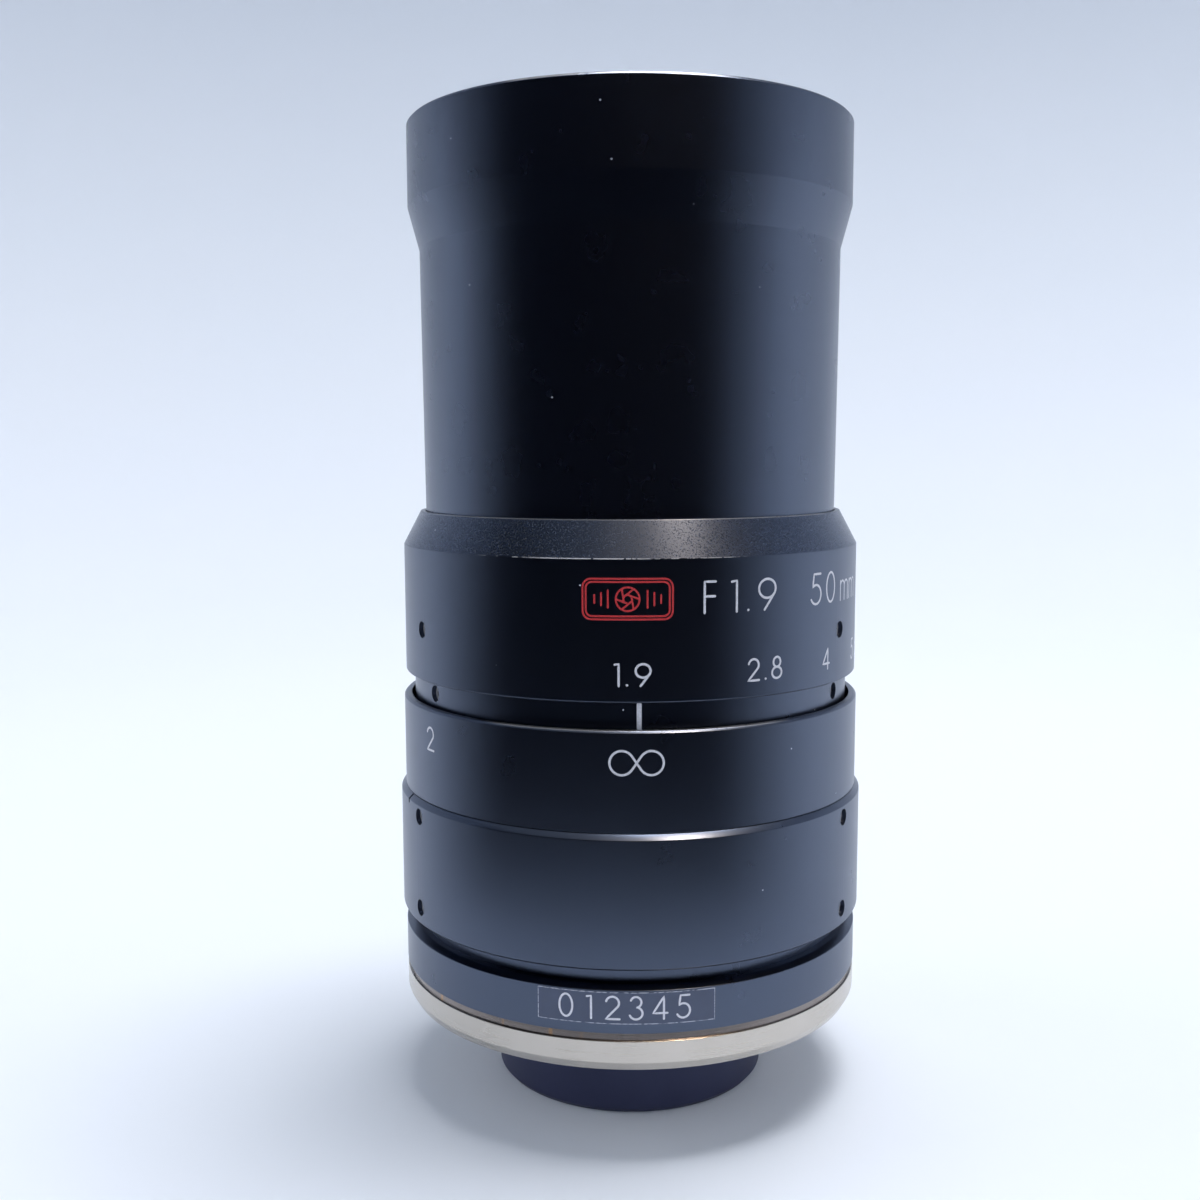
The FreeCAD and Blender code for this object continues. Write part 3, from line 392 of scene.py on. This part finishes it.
def turned_bmesh(outline, rounding):
    """A ring or a closed turned shape from an outline of (radius, height) corners."""
    bm = bmesh.new()
    bm.faces.new([bm.verts.new((r * MM, 0, z * MM)) for r, z in outline])
    off_axis = [v for v in bm.verts if v.co.x > WELD]
    bmesh.ops.bevel(bm, geom=off_axis, offset=rounding * MM, affect="VERTICES", segments=3,
                    profile=0.5, material=-1, clamp_overlap=True)
    bmesh.ops.delete(bm, geom=bm.faces[:], context="FACES_ONLY")
    edges = [e for e in bm.edges if not all(v.co.x < WELD for v in e.verts)]
    spin(bm, bm.verts[:] + edges, 2 * pi, SEGMENTS, merge=True)
    bmesh.ops.remove_doubles(bm, verts=bm.verts[:], dist=WELD)
    loose = [e for e in bm.edges if not e.link_faces]
    bmesh.ops.delete(bm, geom=loose, context="EDGES")
    bmesh.ops.recalc_face_normals(bm, faces=bm.faces[:])
    return bm


def cut(piece, cutter_mesh):
    """Takes a cutter's shape out of a piece, for good."""
    cutter = link("cutter", cutter_mesh)
    tool = piece.modifiers.new("cut", "BOOLEAN")
    tool.operation = "DIFFERENCE"
    tool.solver = "EXACT"
    tool.object = cutter
    bpy.context.view_layer.update()
    evaluated = piece.evaluated_get(bpy.context.evaluated_depsgraph_get())
    mesh = bpy.data.meshes.new_from_object(evaluated)
    piece.modifiers.clear()
    piece.data = mesh
    bpy.data.objects.remove(cutter)


def holes(first, radius, z, depth=4.0):
    """Cutters for a row of locking screws, evenly spread from the first one's azimuth."""
    bm = bmesh.new()
    for i in range(SCREWS_IN_A_ROW):
        place = radial(first + 360.0 / SCREWS_IN_A_ROW * i, radius, z)
        bmesh.ops.create_cone(bm, cap_ends=True, segments=HOLE_SEGMENTS, radius1=SCREW_BORE * MM,
                              radius2=SCREW_BORE * MM, depth=depth * MM, matrix=place)
    return to_mesh(bm, "cutter")


def ring(name, outline, body, material, node, rounding, cutters=()):
    """A turned piece that stands for a CAD node, with its holes cut."""
    piece = link(name, to_mesh(turned_bmesh(outline, rounding), name))
    for cutter in cutters:
        cut(piece, cutter)
    smooth(piece.data)
    even = piece.modifiers.new("even_shading", "WEIGHTED_NORMAL")
    even.keep_sharp = True
    even.weight = 80
    return settle(piece, body, material, (node,))


def refinished(node, body, material):
    """A merged, smoothly shaded copy of a CAD node, which it stands for."""
    bm = bmesh.new()
    bm.from_mesh(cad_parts[node].data)
    bmesh.ops.remove_doubles(bm, verts=bm.verts[:], dist=WELD)
    bmesh.ops.dissolve_degenerate(bm, dist=WELD / 10, edges=bm.edges[:])
    piece = link(node + "_finished", to_mesh(bm, node))
    smooth(piece.data, radians(24))
    return settle(piece, body, material, (node,))


def reach(node):
    """Outside radius, lowest and highest height of a CAD node, in millimetres."""
    low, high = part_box(node)
    return high.x / MM, low.z / MM, high.z / MM


def bore_of(node):
    """Smallest radius of a CAD node, in millimetres."""
    return min(hypot(v.co.x, v.co.y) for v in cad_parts[node].data.vertices) / MM


def bore_at_rim(node):
    """Radius of a cup's inner wall: its smallest radius at the level of its rim, in millimetres."""
    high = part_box(node)[1].z
    rim = [v.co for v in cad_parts[node].data.vertices if abs(v.co.z - high) < 1e-6]
    return min(hypot(co.x, co.y) for co in rim) / MM


# ---- engraving ---------------------------------------------------------------------------
def arc(cx, cy, rx, ry, start, end, steps=18):
    """Points along an arc of an ellipse, between two angles in degrees."""
    return [(cx + rx * cos(radians(start + (end - start) * i / steps)),
             cy + ry * sin(radians(start + (end - start) * i / steps))) for i in range(steps + 1)]


# Width and strokes of each sign, for a height of 1. The eight's upper loop starts at 97.5 degrees, so
# that its points aren't shared with the lower one.
SIGNS = {
    "0": (0.58, [arc(0.29, 0.5, 0.29, 0.5, 90, 450, 30)]),
    "1": (0.18, [[(0.0, 0.97), (0.18, 1.0), (0.18, 0.0)]]),
    "2": (0.6, [arc(0.295, 0.715, 0.28, 0.285, 165, -30) + [(0.0, 0.0), (0.6, 0.0)]]),
    "3": (0.54, [arc(0.25, 0.76, 0.23, 0.24, 160, -80) + arc(0.25, 0.27, 0.28, 0.27, 80, -160)]),
    "4": (0.62, [[(0.47, 0.0), (0.47, 1.0), (0.0, 0.26), (0.62, 0.26)]]),
    "5": (0.58, [[(0.54, 1.0), (0.15, 1.0), (0.09, 0.57)] + arc(0.27, 0.32, 0.3, 0.32, 122, -150)]),
    "6": (0.68, [arc(0.34, 0.31, 0.34, 0.31, 90, 450, 28), [(0.45, 1.0), (0.04, 0.46)]]),
    "7": (0.56, [[(0.0, 1.0), (0.56, 1.0), (0.22, 0.0)]]),
    "8": (0.58, [arc(0.29, 0.765, 0.215, 0.235, 97.5, 457.5, 24),
                 arc(0.29, 0.265, 0.29, 0.265, 90, 450, 28)]),
    "9": (0.68, [arc(0.34, 0.69, 0.34, 0.31, 90, 450, 28), [(0.64, 0.54), (0.23, 0.0)]]),
    "F": (0.37, [[(0.0, 0.0), (0.0, 1.0), (0.37, 1.0)], [(0.0, 0.53), (0.35, 0.53)]]),
    "m": (1.15, [[(0.0, 0.0), (0.0, 1.0)], arc(0.2875, 0.7, 0.2875, 0.3, 180, 0, 12) + [(0.575, 0.0)],
                 arc(0.8625, 0.7, 0.2875, 0.3, 180, 0, 12) + [(1.15, 0.0)]]),
    ".": (0.06, [[(0.025, 0.03), (0.035, 0.03)]]),
}


def signs_at(height, places, radius):
    """Strokes in millimetres, each sign centred on its own azimuth."""
    strokes = []
    for sign, azimuth in places:
        width, lines = SIGNS[sign]
        left = radians(azimuth) * radius - width * height / 2
        strokes += [[(left + px * height, (py - 0.5) * height) for px, py in line] for line in lines]
    return strokes


def written(text, height, gap=0.35):
    """Strokes of a line of signs in millimetres, centred on its width."""
    strokes, x = [], 0.0
    for sign in text:
        width, lines = SIGNS[sign]
        strokes += [[((x + px) * height, (py - 0.5) * height) for px, py in line] for line in lines]
        x += width + gap
    middle = (x - gap) * height / 2
    return [[(px - middle, py) for px, py in line] for line in strokes]


def in_short_steps(line, step=0.3):
    """The same line with more points, so that it follows the ring it's wrapped round."""
    points = [line[0]]
    for (x0, y0), (x1, y1) in zip(line, line[1:]):
        count = max(1, int(hypot(x1 - x0, y1 - y0) / step))
        points += [(x0 + (x1 - x0) * i / count, y0 + (y1 - y0) * i / count) for i in range(1, count + 1)]
    return points


def round_ended(line, radius):
    """Points of (x, y, thickness), with more at both ends of an open stroke, which round it off."""
    body = [(x, y, 1.0) for x, y in line]
    if hypot(line[0][0] - line[-1][0], line[0][1] - line[-1][1]) < 1e-6:
        return body
    ends = []
    for (x0, y0), (x1, y1) in ((line[0], line[1]), (line[-1], line[-2])):
        length = hypot(x1 - x0, y1 - y0) or 1.0
        dx, dy = (x0 - x1) / length, (y0 - y1) / length
        tips = [(sin(t), cos(t)) for t in (radians(35), radians(62), radians(85))]
        ends.append([(x0 + dx * radius * s, y0 + dy * radius * s, c) for s, c in tips])
    return ends[0][::-1] + body + ends[1]


def drawn(name, strokes, width):
    """A flat mesh of round-ended strokes, with x and z in millimetres."""
    curve = bpy.data.curves.new(name, "CURVE")
    curve.dimensions = "3D"
    curve.bevel_depth = width / 2
    curve.bevel_resolution = 2
    curve.use_fill_caps = True
    for line in strokes:
        line = in_short_steps(line)
        points = round_ended(line, width / 2)
        closed = len(points) == len(line)
        if closed:
            points = points[:-1]
        spline = curve.splines.new("POLY")
        spline.points.add(len(points) - 1)
        for point, (x, y, thick) in zip(spline.points, points):
            point.co = (x, 0.0, y, 1.0)
            point.radius = thick
        spline.use_cyclic_u = closed
    flat = bpy.data.objects.new(name, curve)
    mesh = bpy.data.meshes.new_from_object(flat)
    bpy.data.objects.remove(flat)
    return mesh


def engraved(name, strokes, azimuth, z, radius, body, material, width=STROKE, proud=PAINT_PROUD):
    """Paint-filled strokes wrapped round a ring. x runs along the ring, y up it, in millimetres."""
    mesh = drawn(name, strokes, width)
    for vertex in mesh.vertices:
        x, y, up = vertex.co
        depth = -y / (width / 2) * proud
        along = azimuth + x / radius * 180 / pi
        vertex.co = at(along, radius + depth, z + up)
    bm = bmesh.new()
    bm.from_mesh(mesh)
    bmesh.ops.remove_doubles(bm, verts=bm.verts[:], dist=WELD / 10)
    bmesh.ops.recalc_face_normals(bm, faces=bm.faces[:])
    bm.to_mesh(mesh)
    bm.free()
    piece = link(name, mesh)
    smooth(piece.data, radians(60))
    return settle(piece, body, material)


# ---- finishes ----------------------------------------------------------------------------
tube_r, z_spigot, z_top = reach("front_tube")
aperture_r, z_aperture, z_shoulder_top = reach("aperture_ring")
index_r, z_index, z_index_top = reach("index_ring")
focus_r, z_focus, z_focus_top = reach("focus_ring")
barrel_r, z_barrel, z_barrel_top = reach("barrel_sleeve")
lock_r, z_lock, z_groove = reach("lock_ring")
flange_r, z_thread, z_flange_top = reach("mount_flange")
cap_r, _, z_cap_top = reach("rear_cap")
_, LABEL_LOW, LABEL_HIGH = reach("number_label")
LABEL_FROM, LABEL_TO = -23.0, 17.0
label_r = lock_r + 0.06       # outside of the tape
SHOULDER = 3.34               # height of the aperture ring's cone
z_shoulder = z_shoulder_top - SHOULDER
THREAD_R = 12.7               # one-inch camera thread
CAMERA_PITCH, FILTER_PITCH = 0.794, 0.75

BLASTED = anodised("blasted_black")
# The rim's top bevel line is partly scuffed bare metal and partly a painted highlight of the top light.
TUBE_FINISH = anodised("blasted_tube", 0.27, worn_and_highlit=((z_top - 0.05, 0.2, -34.0, 26.0, 0.62, 0.55),))
# The line at the shoulder's top edge is a painted highlight on the rounded edge; the lines at the
# shoulder's foot and the ring's lower edge are scuffed bare metal.
APERTURE_FINISH = anodised("blasted_aperture", worn_and_highlit=(
    (z_shoulder, 0.05, -40.0, -18.0, 0.42, 0.8), (z_shoulder, 0.06, -28.0, 6.0, 0.56, 1.2),
    (z_shoulder, 0.045, -4.0, 26.0, 0.5, 0.8), (z_shoulder_top, 0.09, -70.0, 62.0, 0.66, 0.35),
    (z_aperture, 0.05, -60.0, 50.0, 0.4, 0.15)), sparkle=((z_shoulder + 0.1, z_shoulder_top - 0.1),))
# The line along the top bevel is a painted highlight.
FOCUS_FINISH = anodised("blasted_focus", worn_and_highlit=((z_focus_top - 0.02, 0.09, -38.0, 38.0, 0.60, 0.4),))
BARREL_FINISH = anodised("blasted_barrel")
NICKEL, CAP, STEEL, BRASS = nickel(), moulded(), oxide_steel(), turned_brass()
BLADES, GLASS, TAPE = blade_steel(), coated_glass(), tape()
WHITE = paint("white_enamel", (0.60, 0.60, 0.64))
RED = paint("red_enamel", (0.54, 0.014, 0.020))
PRINT = paint("label_print", (0.72, 0.72, 0.78))

# ---- turned pieces -----------------------------------------------------------------------
def rear_cap():
    """The smooth dust cap that the lens stands on."""
    bore, floor, foot, recess = bore_at_rim("rear_cap"), 1.2, cap_r - 1.9, 0.12
    outline = [(0, recess), (foot, recess), (foot, 0), (cap_r - 0.45, 0), (cap_r - 0.02, 0.5),
               (cap_r, z_cap_top - 0.2), (cap_r - 0.2, z_cap_top), (bore, z_cap_top), (bore, floor),
               (0, floor)]
    return ring("rear_dust_cap", outline, "rear_cap", CAP, "rear_cap", 0.12)


def mount_flange():
    """The bare metal mount: threaded boss, countersunk holes, chamfered rim and neck."""
    bore, boss, neck_r, screws_r = bore_of("mount_flange"), 15.0, 23.4, 18.2
    seat, low, neck = z_thread + 4.0, z_flange_top - 3.67, z_flange_top - NECK
    root, relief = THREAD_R - 0.5, THREAD_R - 0.6
    outline = [(bore, z_thread), (root, z_thread), (root, seat - 0.6), (relief, seat - 0.5),
               (relief, seat), (boss, seat), (boss, low), (flange_r - 0.5, low), (flange_r, low + 0.87),
               (flange_r, neck), (neck_r, neck), (neck_r, z_flange_top), (bore, z_flange_top)]
    sinks = bmesh.new()
    for i in range(4):
        for mouth, depth, z in ((1.94, 0.91, 0.445), (1.02, 4.0, 2.5)):
            place = Matrix.Translation(at(45 + 90 * i, screws_r, low + z))
            bmesh.ops.create_cone(sinks, cap_ends=True, segments=HOLE_SEGMENTS, radius1=mouth * MM,
                                  radius2=1.02 * MM, depth=depth * MM, matrix=place)
    return ring("nickel_flange", outline, "barrel", NICKEL, "mount_flange", 0.06,
                [to_mesh(sinks, "cutter")])


def thread(name, inner, outer, pitch, turns, z, body, material):
    """A helical ridge: a tooth's outline spun while it climbs."""
    bm = bmesh.new()
    half = pitch / 2
    tooth = [(inner, -half * 0.92), (outer, -half * 0.12), (outer, half * 0.12), (inner, half * 0.92)]
    bm.faces.new([bm.verts.new((r * MM, 0, (z + dz) * MM)) for r, dz in tooth])
    spin(bm, bm.faces[:], 2 * pi * turns, int(THREAD_STEPS * turns), pitch / THREAD_STEPS * MM)
    bmesh.ops.recalc_face_normals(bm, faces=bm.faces[:])
    piece = link(name, to_mesh(bm, name))
    smooth(piece.data)
    return settle(piece, body, material)


def lock_ring():
    """The dark ring above the flange, which carries the number tape."""
    bore = bore_of("lock_ring")
    outline = [(bore, z_lock), (lock_r, z_lock), (lock_r, z_groove - 0.2), (22.8, z_groove),
               (bore, z_groove)]
    return ring("lock_ring_turned", outline, "barrel", BLASTED, "lock_ring", 0.05)


def barrel_sleeve():
    """The main barrel, with two rows of screw holes and a scribed notch in its upper edge."""
    bore, inner, seat = bore_of("barrel_sleeve"), 22.05, z_barrel + 2.99
    outline = [(bore, z_barrel), (barrel_r - 0.22, z_barrel), (barrel_r, z_barrel + 0.22),
               (barrel_r, z_barrel_top - 0.5), (barrel_r - 0.5, z_barrel_top), (inner, z_barrel_top),
               (inner, seat), (bore, seat)]
    notch = bmesh.new()
    place = radial(-69.0, barrel_r, z_barrel_top) @ Matrix.Diagonal((0.3 * MM, 1.8 * MM, 1.0 * MM, 1.0))
    bmesh.ops.create_cube(notch, size=1.0, matrix=place)
    cutters = [holes(-61.65, 23.0, z_barrel + rise) for rise in (1.78, 10.99)]
    cutters.append(to_mesh(notch, "cutter"))
    return ring("barrel_sleeve_turned", outline, "barrel", BARREL_FINISH, "barrel_sleeve",
                0.05, cutters)


def focus_ring():
    """The ring with the distances, whose skirt runs up round the index ring."""
    bore, web, inner = bore_of("focus_ring"), z_focus + 1.85, 22.78
    outline = [(bore, z_focus), (focus_r, z_focus), (focus_r, z_focus_top - 0.22),
               (focus_r - 0.22, z_focus_top), (inner, z_focus_top), (inner, web), (bore, web)]
    return ring("focus_ring_turned", outline, "focus_ring", FOCUS_FINISH, "focus_ring",
                0.05)


def index_ring():
    """The recessed ring with the index line."""
    bore = bore_of("index_ring")
    outline = [(bore, z_index), (index_r, z_index), (index_r, z_index_top), (bore, z_index_top)]
    return ring("index_ring_turned", outline, "lens_unit", BLASTED, "index_ring", 0.04,
                [holes(-59.55, 21.5, z_index_top - 1.15)])


def aperture_ring():
    """The ring with the f-stops and its coned shoulder, bored in three steps."""
    skirt, bore, lip = 22.2, 21.45, 21.1
    step, ledge = z_aperture + 8.95, z_shoulder_top - 2.7
    outline = [(skirt, z_aperture), (aperture_r - 0.12, z_aperture), (aperture_r, z_aperture + 0.12),
               (aperture_r, z_shoulder), (21.55, z_shoulder_top), (lip, z_shoulder_top), (lip, ledge),
               (bore, ledge), (bore, step), (skirt, step)]
    return ring("aperture_ring_turned", outline, "aperture_ring", APERTURE_FINISH, "aperture_ring",
                0.035, [holes(-61.8, 23.6, z_aperture + 5.03, 2.2)])


def front_tube():
    """The hood: spigot, slightly coned tube, flared rim, filter seat, and grooves that trap light."""
    z_seat, thread_low = z_shoulder_top - 2.74, z_top - 4.5
    flare, rim = z_top - 12.22, z_top - 8.07
    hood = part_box("front_cell")[1].z / MM - 1.4
    spigot_bore, spigot_r, foot_r, hood_bore, filter_bore = 18.3, 20.25, 21.01, 19.9, 21.5
    outline = [(spigot_bore, z_spigot), (spigot_r, z_spigot), (spigot_r, z_seat), (foot_r, z_seat),
               (foot_r, z_shoulder_top), (21.25, flare), (tube_r, rim), (tube_r, z_top - 0.25),
               (tube_r - 0.25, z_top), (21.85, z_top), (filter_bore, z_top - 0.35),
               (filter_bore, thread_low + 0.6), (hood_bore, thread_low)]
    first, count, wide, deep = hood + 3.2, 14, 0.7, 0.42
    pitch = (thread_low - 1.2 - first) / (count - 1)
    for i in reversed(range(count)):
        low = first + pitch * i
        outline += [(hood_bore, low + wide), (hood_bore + deep, low + wide * 0.35), (hood_bore, low)]
    outline += [(hood_bore, hood), (spigot_bore, hood)]
    return ring("front_tube_turned", outline, "lens_unit", TUBE_FINISH, "front_tube",
                0.04)


# ---- marks -------------------------------------------------------------------------------
def infinity_sign(reach_x, loop):
    """Two loops joined by crossing tangents."""
    centre = reach_x - loop
    lean = 90.0 - asin(loop / centre) * 180 / pi
    right = arc(centre, 0, loop, loop, -180 + lean, 180 - lean, 26)
    left = arc(-centre, 0, loop, loop, 360 - lean, lean, 26)
    return [right + left + right[:1]]


def rounded_frame(half_x, half_y, corner):
    """A closed rectangle with round corners."""
    line = []
    for cx, cy, start in ((1, 1, 0), (-1, 1, 90), (-1, -1, 180), (1, -1, 270)):
        line += arc(cx * (half_x - corner), cy * (half_y - corner), corner, corner, start, start + 90, 8)
    return line + line[:1]


def emblem():
    """A plain plate shape: a double rounded frame round an iris sign between bars."""
    outer, inner, blades = 1.05, 0.42, 6
    strokes = [rounded_frame(4.0, 1.8, 0.75), rounded_frame(3.72, 1.52, 0.55),
               arc(0, 0, outer, outer, 0, 360, 36)]
    for i in range(blades):
        a, b = radians(60 * i), radians(60 * i + 100)
        strokes.append([(outer * cos(a), outer * sin(a)), (inner * cos(b), inner * sin(b))])
    for side in (-1, 1):
        for i in range(3):
            x = side * (1.75 + 0.6 * i)
            strokes.append([(x, -0.75 + 0.2 * i), (x, 0.75 - 0.2 * i)])
    return strokes


def aperture_marks():
    """The emblem, the focal length and the f-stops."""
    z_big, z_scale = 52.4, 45.6
    shift = -1.0              # the ring's widest stop stands a little left of the index line

    def engrave(name, strokes, z, azimuth=0.0, color=WHITE, width=STROKE):
        engraved(name, strokes, azimuth, z, aperture_r, "aperture_ring", color, width)

    engrave("emblem", emblem(), z_big - 0.05, -2.6, RED, 0.17)
    f_mark = (("F", 15.65), ("1", 21.45), (".", 25.0), ("9", 30.1))
    engrave("f_mark", signs_at(2.78, f_mark, aperture_r), z_big, width=0.22)
    engrave("focal_mark", signs_at(2.82, (("5", 46.2), ("0", 52.7)), aperture_r), z_big, width=0.22)
    engrave("unit_mark", signs_at(1.86, (("m", 60.9), ("m", 67.5)), aperture_r), z_big - 0.55, width=0.19)
    engrave("stop_1_9", signs_at(1.95, (("1", -5.0), (".", -2.75), ("9", 0.75)), aperture_r), z_scale)
    for text, turn in (("2.8", 30.8), ("4", 52.0), ("5.6", 74), ("8", 96), ("11", 118), ("16", 140)):
        engrave("stop_" + text.replace(".", "_"), written(text, 1.95), z_scale, shift + turn)


def focus_marks():
    """The distances in metres. The ring turns them past the index line, so they run to the left."""
    z_mark = 37.7
    engraved("infinity_mark", infinity_sign(2.43, 1.1), -0.67, z_mark, focus_r, "focus_ring", WHITE)
    for text, turn in (("2", -56.9), ("1", -118.5), ("0.7", -178.6), ("0.5", -269.3)):
        name = "distance_" + text.replace(".", "_")
        engraved(name, written(text, 2.2), turn, z_mark, focus_r, "focus_ring", WHITE)


def index_mark():
    """The line from the focus ring's edge up to just short of the aperture ring."""
    low, high = z_focus_top - 0.9, z_aperture - 0.24
    middle = (low + high) / 2
    strokes = [[(0, low - middle), (0, high - middle)]]
    return engraved("index_line", strokes, 0.0, middle, index_r, "lens_unit", WHITE, 0.44)


def label():
    """The number tape, with its printed digits."""
    middle = (LABEL_FROM + LABEL_TO) / 2
    bm = bmesh.new()
    bmesh.ops.create_grid(bm, x_segments=64, y_segments=8, size=0.5)
    for vertex in bm.verts:
        along = middle + vertex.co.x * (LABEL_TO - LABEL_FROM)
        up = (LABEL_LOW + LABEL_HIGH) / 2 + vertex.co.y * (LABEL_HIGH - LABEL_LOW)
        vertex.co = at(along, label_r - 0.012, up)
    bmesh.ops.recalc_face_normals(bm, faces=bm.faces[:])
    for face in bm.faces:
        outwards = Vector((*face.calc_center_median().xy, 0.0))
        if face.normal.dot(outwards) < 0:
            face.normal_flip()
    bmesh.ops.solidify(bm, geom=bm.faces[:], thickness=0.045 * MM)
    bmesh.ops.recalc_face_normals(bm, faces=bm.faces[:])
    piece = link("number_tape", to_mesh(bm, "number_tape"))
    smooth(piece.data)
    settle(piece, "barrel", TAPE, ("number_label",))
    digits = [(sign, -16.4 + 5.23 * i) for i, sign in enumerate("012345")]
    engraved("tape_digits", signs_at(2.12, digits, label_r), 0.0, 15.09, label_r, "barrel", PRINT,
             0.2, 0.008)


rear_cap()
mount_flange()
lock_ring()
barrel_sleeve()
focus_ring()
index_ring()
aperture_ring()
front_tube()
aperture_marks()
focus_marks()
index_mark()
label()
thread("camera_thread_ridge", THREAD_R - 0.55, THREAD_R, CAMERA_PITCH, 4.0, z_thread + 0.45,
       "barrel", NICKEL)
thread("filter_thread_ridge", 21.52, 21.1, FILTER_PITCH, 4.6, z_top - 4.1,
       "lens_unit", TUBE_FINISH)

# The rest keeps its CAD shape
INNER = {
    "barrel": {"guide_barrel": BLASTED, "baffle_ring": BLASTED, "barrel_lower_screws": STEEL,
               "barrel_upper_screws": STEEL, "focus_stop_pin": STEEL, "flange_screws": STEEL},
    "focus_ring": {"helicoid_nut": BRASS},
    "lens_unit": {"lens_carrier": BLASTED, "guide_keys": BRASS, "key_screws": STEEL, "index_screws": STEEL,
                  "iris_housing": BLASTED, "iris_cover": BLASTED, "front_cell": BLASTED,
                  "front_spacer": BLASTED, "front_retaining_ring": BLASTED, "rear_cell": BLASTED,
                  "rear_spacer": BLASTED, "rear_retaining_ring": BLASTED, "front_lens": GLASS,
                  "second_lens": GLASS, "third_lens": GLASS, "fourth_lens": GLASS, "fifth_lens": GLASS,
                  "sixth_lens": GLASS},
    "aperture_ring": {"aperture_drive_ring": BLASTED, "aperture_drive_pin": STEEL,
                      "aperture_screws": STEEL, "iris_rotor": BLADES},
}
for body, nodes in INNER.items():
    for node, material in nodes.items():
        refinished(node, body, material)
for i in range(BLADES_IN_IRIS):
    refinished("iris_blade_%d" % (i + 1), "iris_blade_%d" % (i + 1), BLADES)


# ---- floor, light, camera ----------------------------------------------------------------
def backdrop():
    """A pale seamless bowl of paper: floor, swept corner and wall, with painted shade that darkens it
    towards its top.
    """
    bm = bmesh.new()
    wall, corner, top = 1.1, 0.8, 1.3
    path = [(0.0, 0.0), (wall - corner, 0.0)]
    path += [(wall - corner + corner * sin(t), corner - corner * cos(t))
             for t in (radians(7.5 * i) for i in range(1, 13))]
    path += [(wall, top)]
    points = [bm.verts.new((r, 0, z - 0.00002)) for r, z in path]
    edges = [bm.edges.new(pair) for pair in zip(points, points[1:])]
    spin(bm, points + edges, 2 * pi, 96, merge=True)
    bmesh.ops.remove_doubles(bm, verts=bm.verts[:], dist=1e-6)
    bmesh.ops.recalc_face_normals(bm, faces=bm.faces[:])
    piece = link("pale_floor", to_mesh(bm, "pale_floor"))
    smooth(piece.data, radians(60))
    m = Finish("pale_paper", (0.83, 0.86, 0.92), 0.7, Specular_IOR_Level=0.2)
    paper = m.mix(m.noise(6.0), (0.82, 0.86, 0.92), (0.85, 0.875, 0.925))
    # painted shade: the paper's colour darkens with height, for the light falling off up the wall
    m.set("Base Color", m.mix(m.ramp(m.height(), 0.0, 0.8), paper, (0.60, 0.65, 0.73)))
    piece.data.materials.append(m.material)


def dark_room():
    """A dark wall bent round the lens, seen only in reflections, that fades at its sides and foot.

    It makes the black middle of the rings. Its radius and height are in metres, the rest in degrees.
    """
    foot, head, high = 0.084, 0.16, 0.2
    middle, half, full = -12.5, 104.0, 42.0
    bm = bmesh.new()
    ends = [bm.verts.new(at(middle - half, r / MM, z / MM)) for r, z in ((foot, 0.0), (head, high))]
    spin(bm, [*ends, bm.edges.new(ends)], radians(2 * half), 52)
    piece = link("dark_room", to_mesh(bm, "dark_room"))
    m = Finish("dark_cloth", (0.004, 0.004, 0.008), 0.9, Specular_IOR_Level=0.0)
    sides = m.ramp(abs(m.around() - radians(middle)), radians(half), radians(full))
    m.set("Alpha", sides * m.ramp(m.height(), -0.03, 0.016))
    piece.data.materials.append(m.material)
    piece.visible_camera = False
    piece.visible_shadow = False
    piece.visible_diffuse = False


def softbox(name, azimuth, elevation, distance, size, watts, color, spreads=True, mirrored=True):
    """A rectangular lamp that faces the lens, for the paper (spreads), for reflections, or for both."""
    data = bpy.data.lights.new(name, "AREA")
    data.shape = "RECTANGLE"
    data.size, data.size_y = size
    data.energy = watts
    data.color = color
    lamp = link(name, data)
    lamp.visible_diffuse = spreads
    lamp.visible_glossy = mirrored
    aim = Vector((0, 0, 0.05))
    a, e = radians(azimuth), radians(elevation)
    lamp.location = aim + Vector((sin(a) * cos(e), -cos(a) * cos(e), sin(e))) * distance
    lamp.rotation_euler = (lamp.location - aim).to_track_quat("Z", "Y").to_euler()


def set_world(color, strength):
    """Even, cold light from all round."""
    world = bpy.data.worlds.new("studio")
    bpy.context.scene.world = world
    world.use_nodes = True
    background = world.node_tree.nodes["Background"]
    background.inputs["Color"].default_value = color
    background.inputs["Strength"].default_value = strength


def set_camera():
    """The camera, a little above the lens and close to it."""
    data = bpy.data.cameras.new("camera")
    data.sensor_width = SENSOR_WIDTH
    data.lens = LENS_MM
    data.clip_start, data.clip_end = 0.005, 20.0
    camera = link("camera", data)
    turn = Matrix.Rotation(radians(CAMERA_AZIMUTH + CAMERA_TURN), 4, "Z")
    tilt = Matrix.Rotation(radians(90 - CAMERA_DOWN), 4, "X")
    roll = Matrix.Rotation(radians(CAMERA_ROLL), 4, "Z")
    place = Matrix.Translation(at(CAMERA_AZIMUTH, CAMERA_DISTANCE, CAMERA_HEIGHT))
    camera.matrix_world = place @ turn @ tilt @ roll
    bpy.context.scene.camera = camera


LAMP_GLOW = (1.0, 0.76, 0.54)
backdrop()
dark_room()
set_world((0.80, 0.88, 1.0, 1.0), 0.33)
softbox("top_box", 120, 80, 0.9, (0.45, 0.45), 7.2, (0.97, 0.98, 1.0))
softbox("right_box", 90, 16, 0.9, (0.5, 0.5), 1.3, (1.0, 0.99, 0.98), mirrored=False)
softbox("left_box", -94, 14, 0.9, (0.5, 0.45), 2.7, (0.94, 0.97, 1.0), mirrored=False)
softbox("front_lamp", 40, 62, 0.7, (0.14, 0.14), 2.9, LAMP_GLOW, spreads=False)
softbox("ceiling_lamp", 6, 60, 0.7, (0.34, 0.2), 0.13, LAMP_GLOW, spreads=False)
set_camera()
bpy.context.scene.view_settings.view_transform = "Standard"
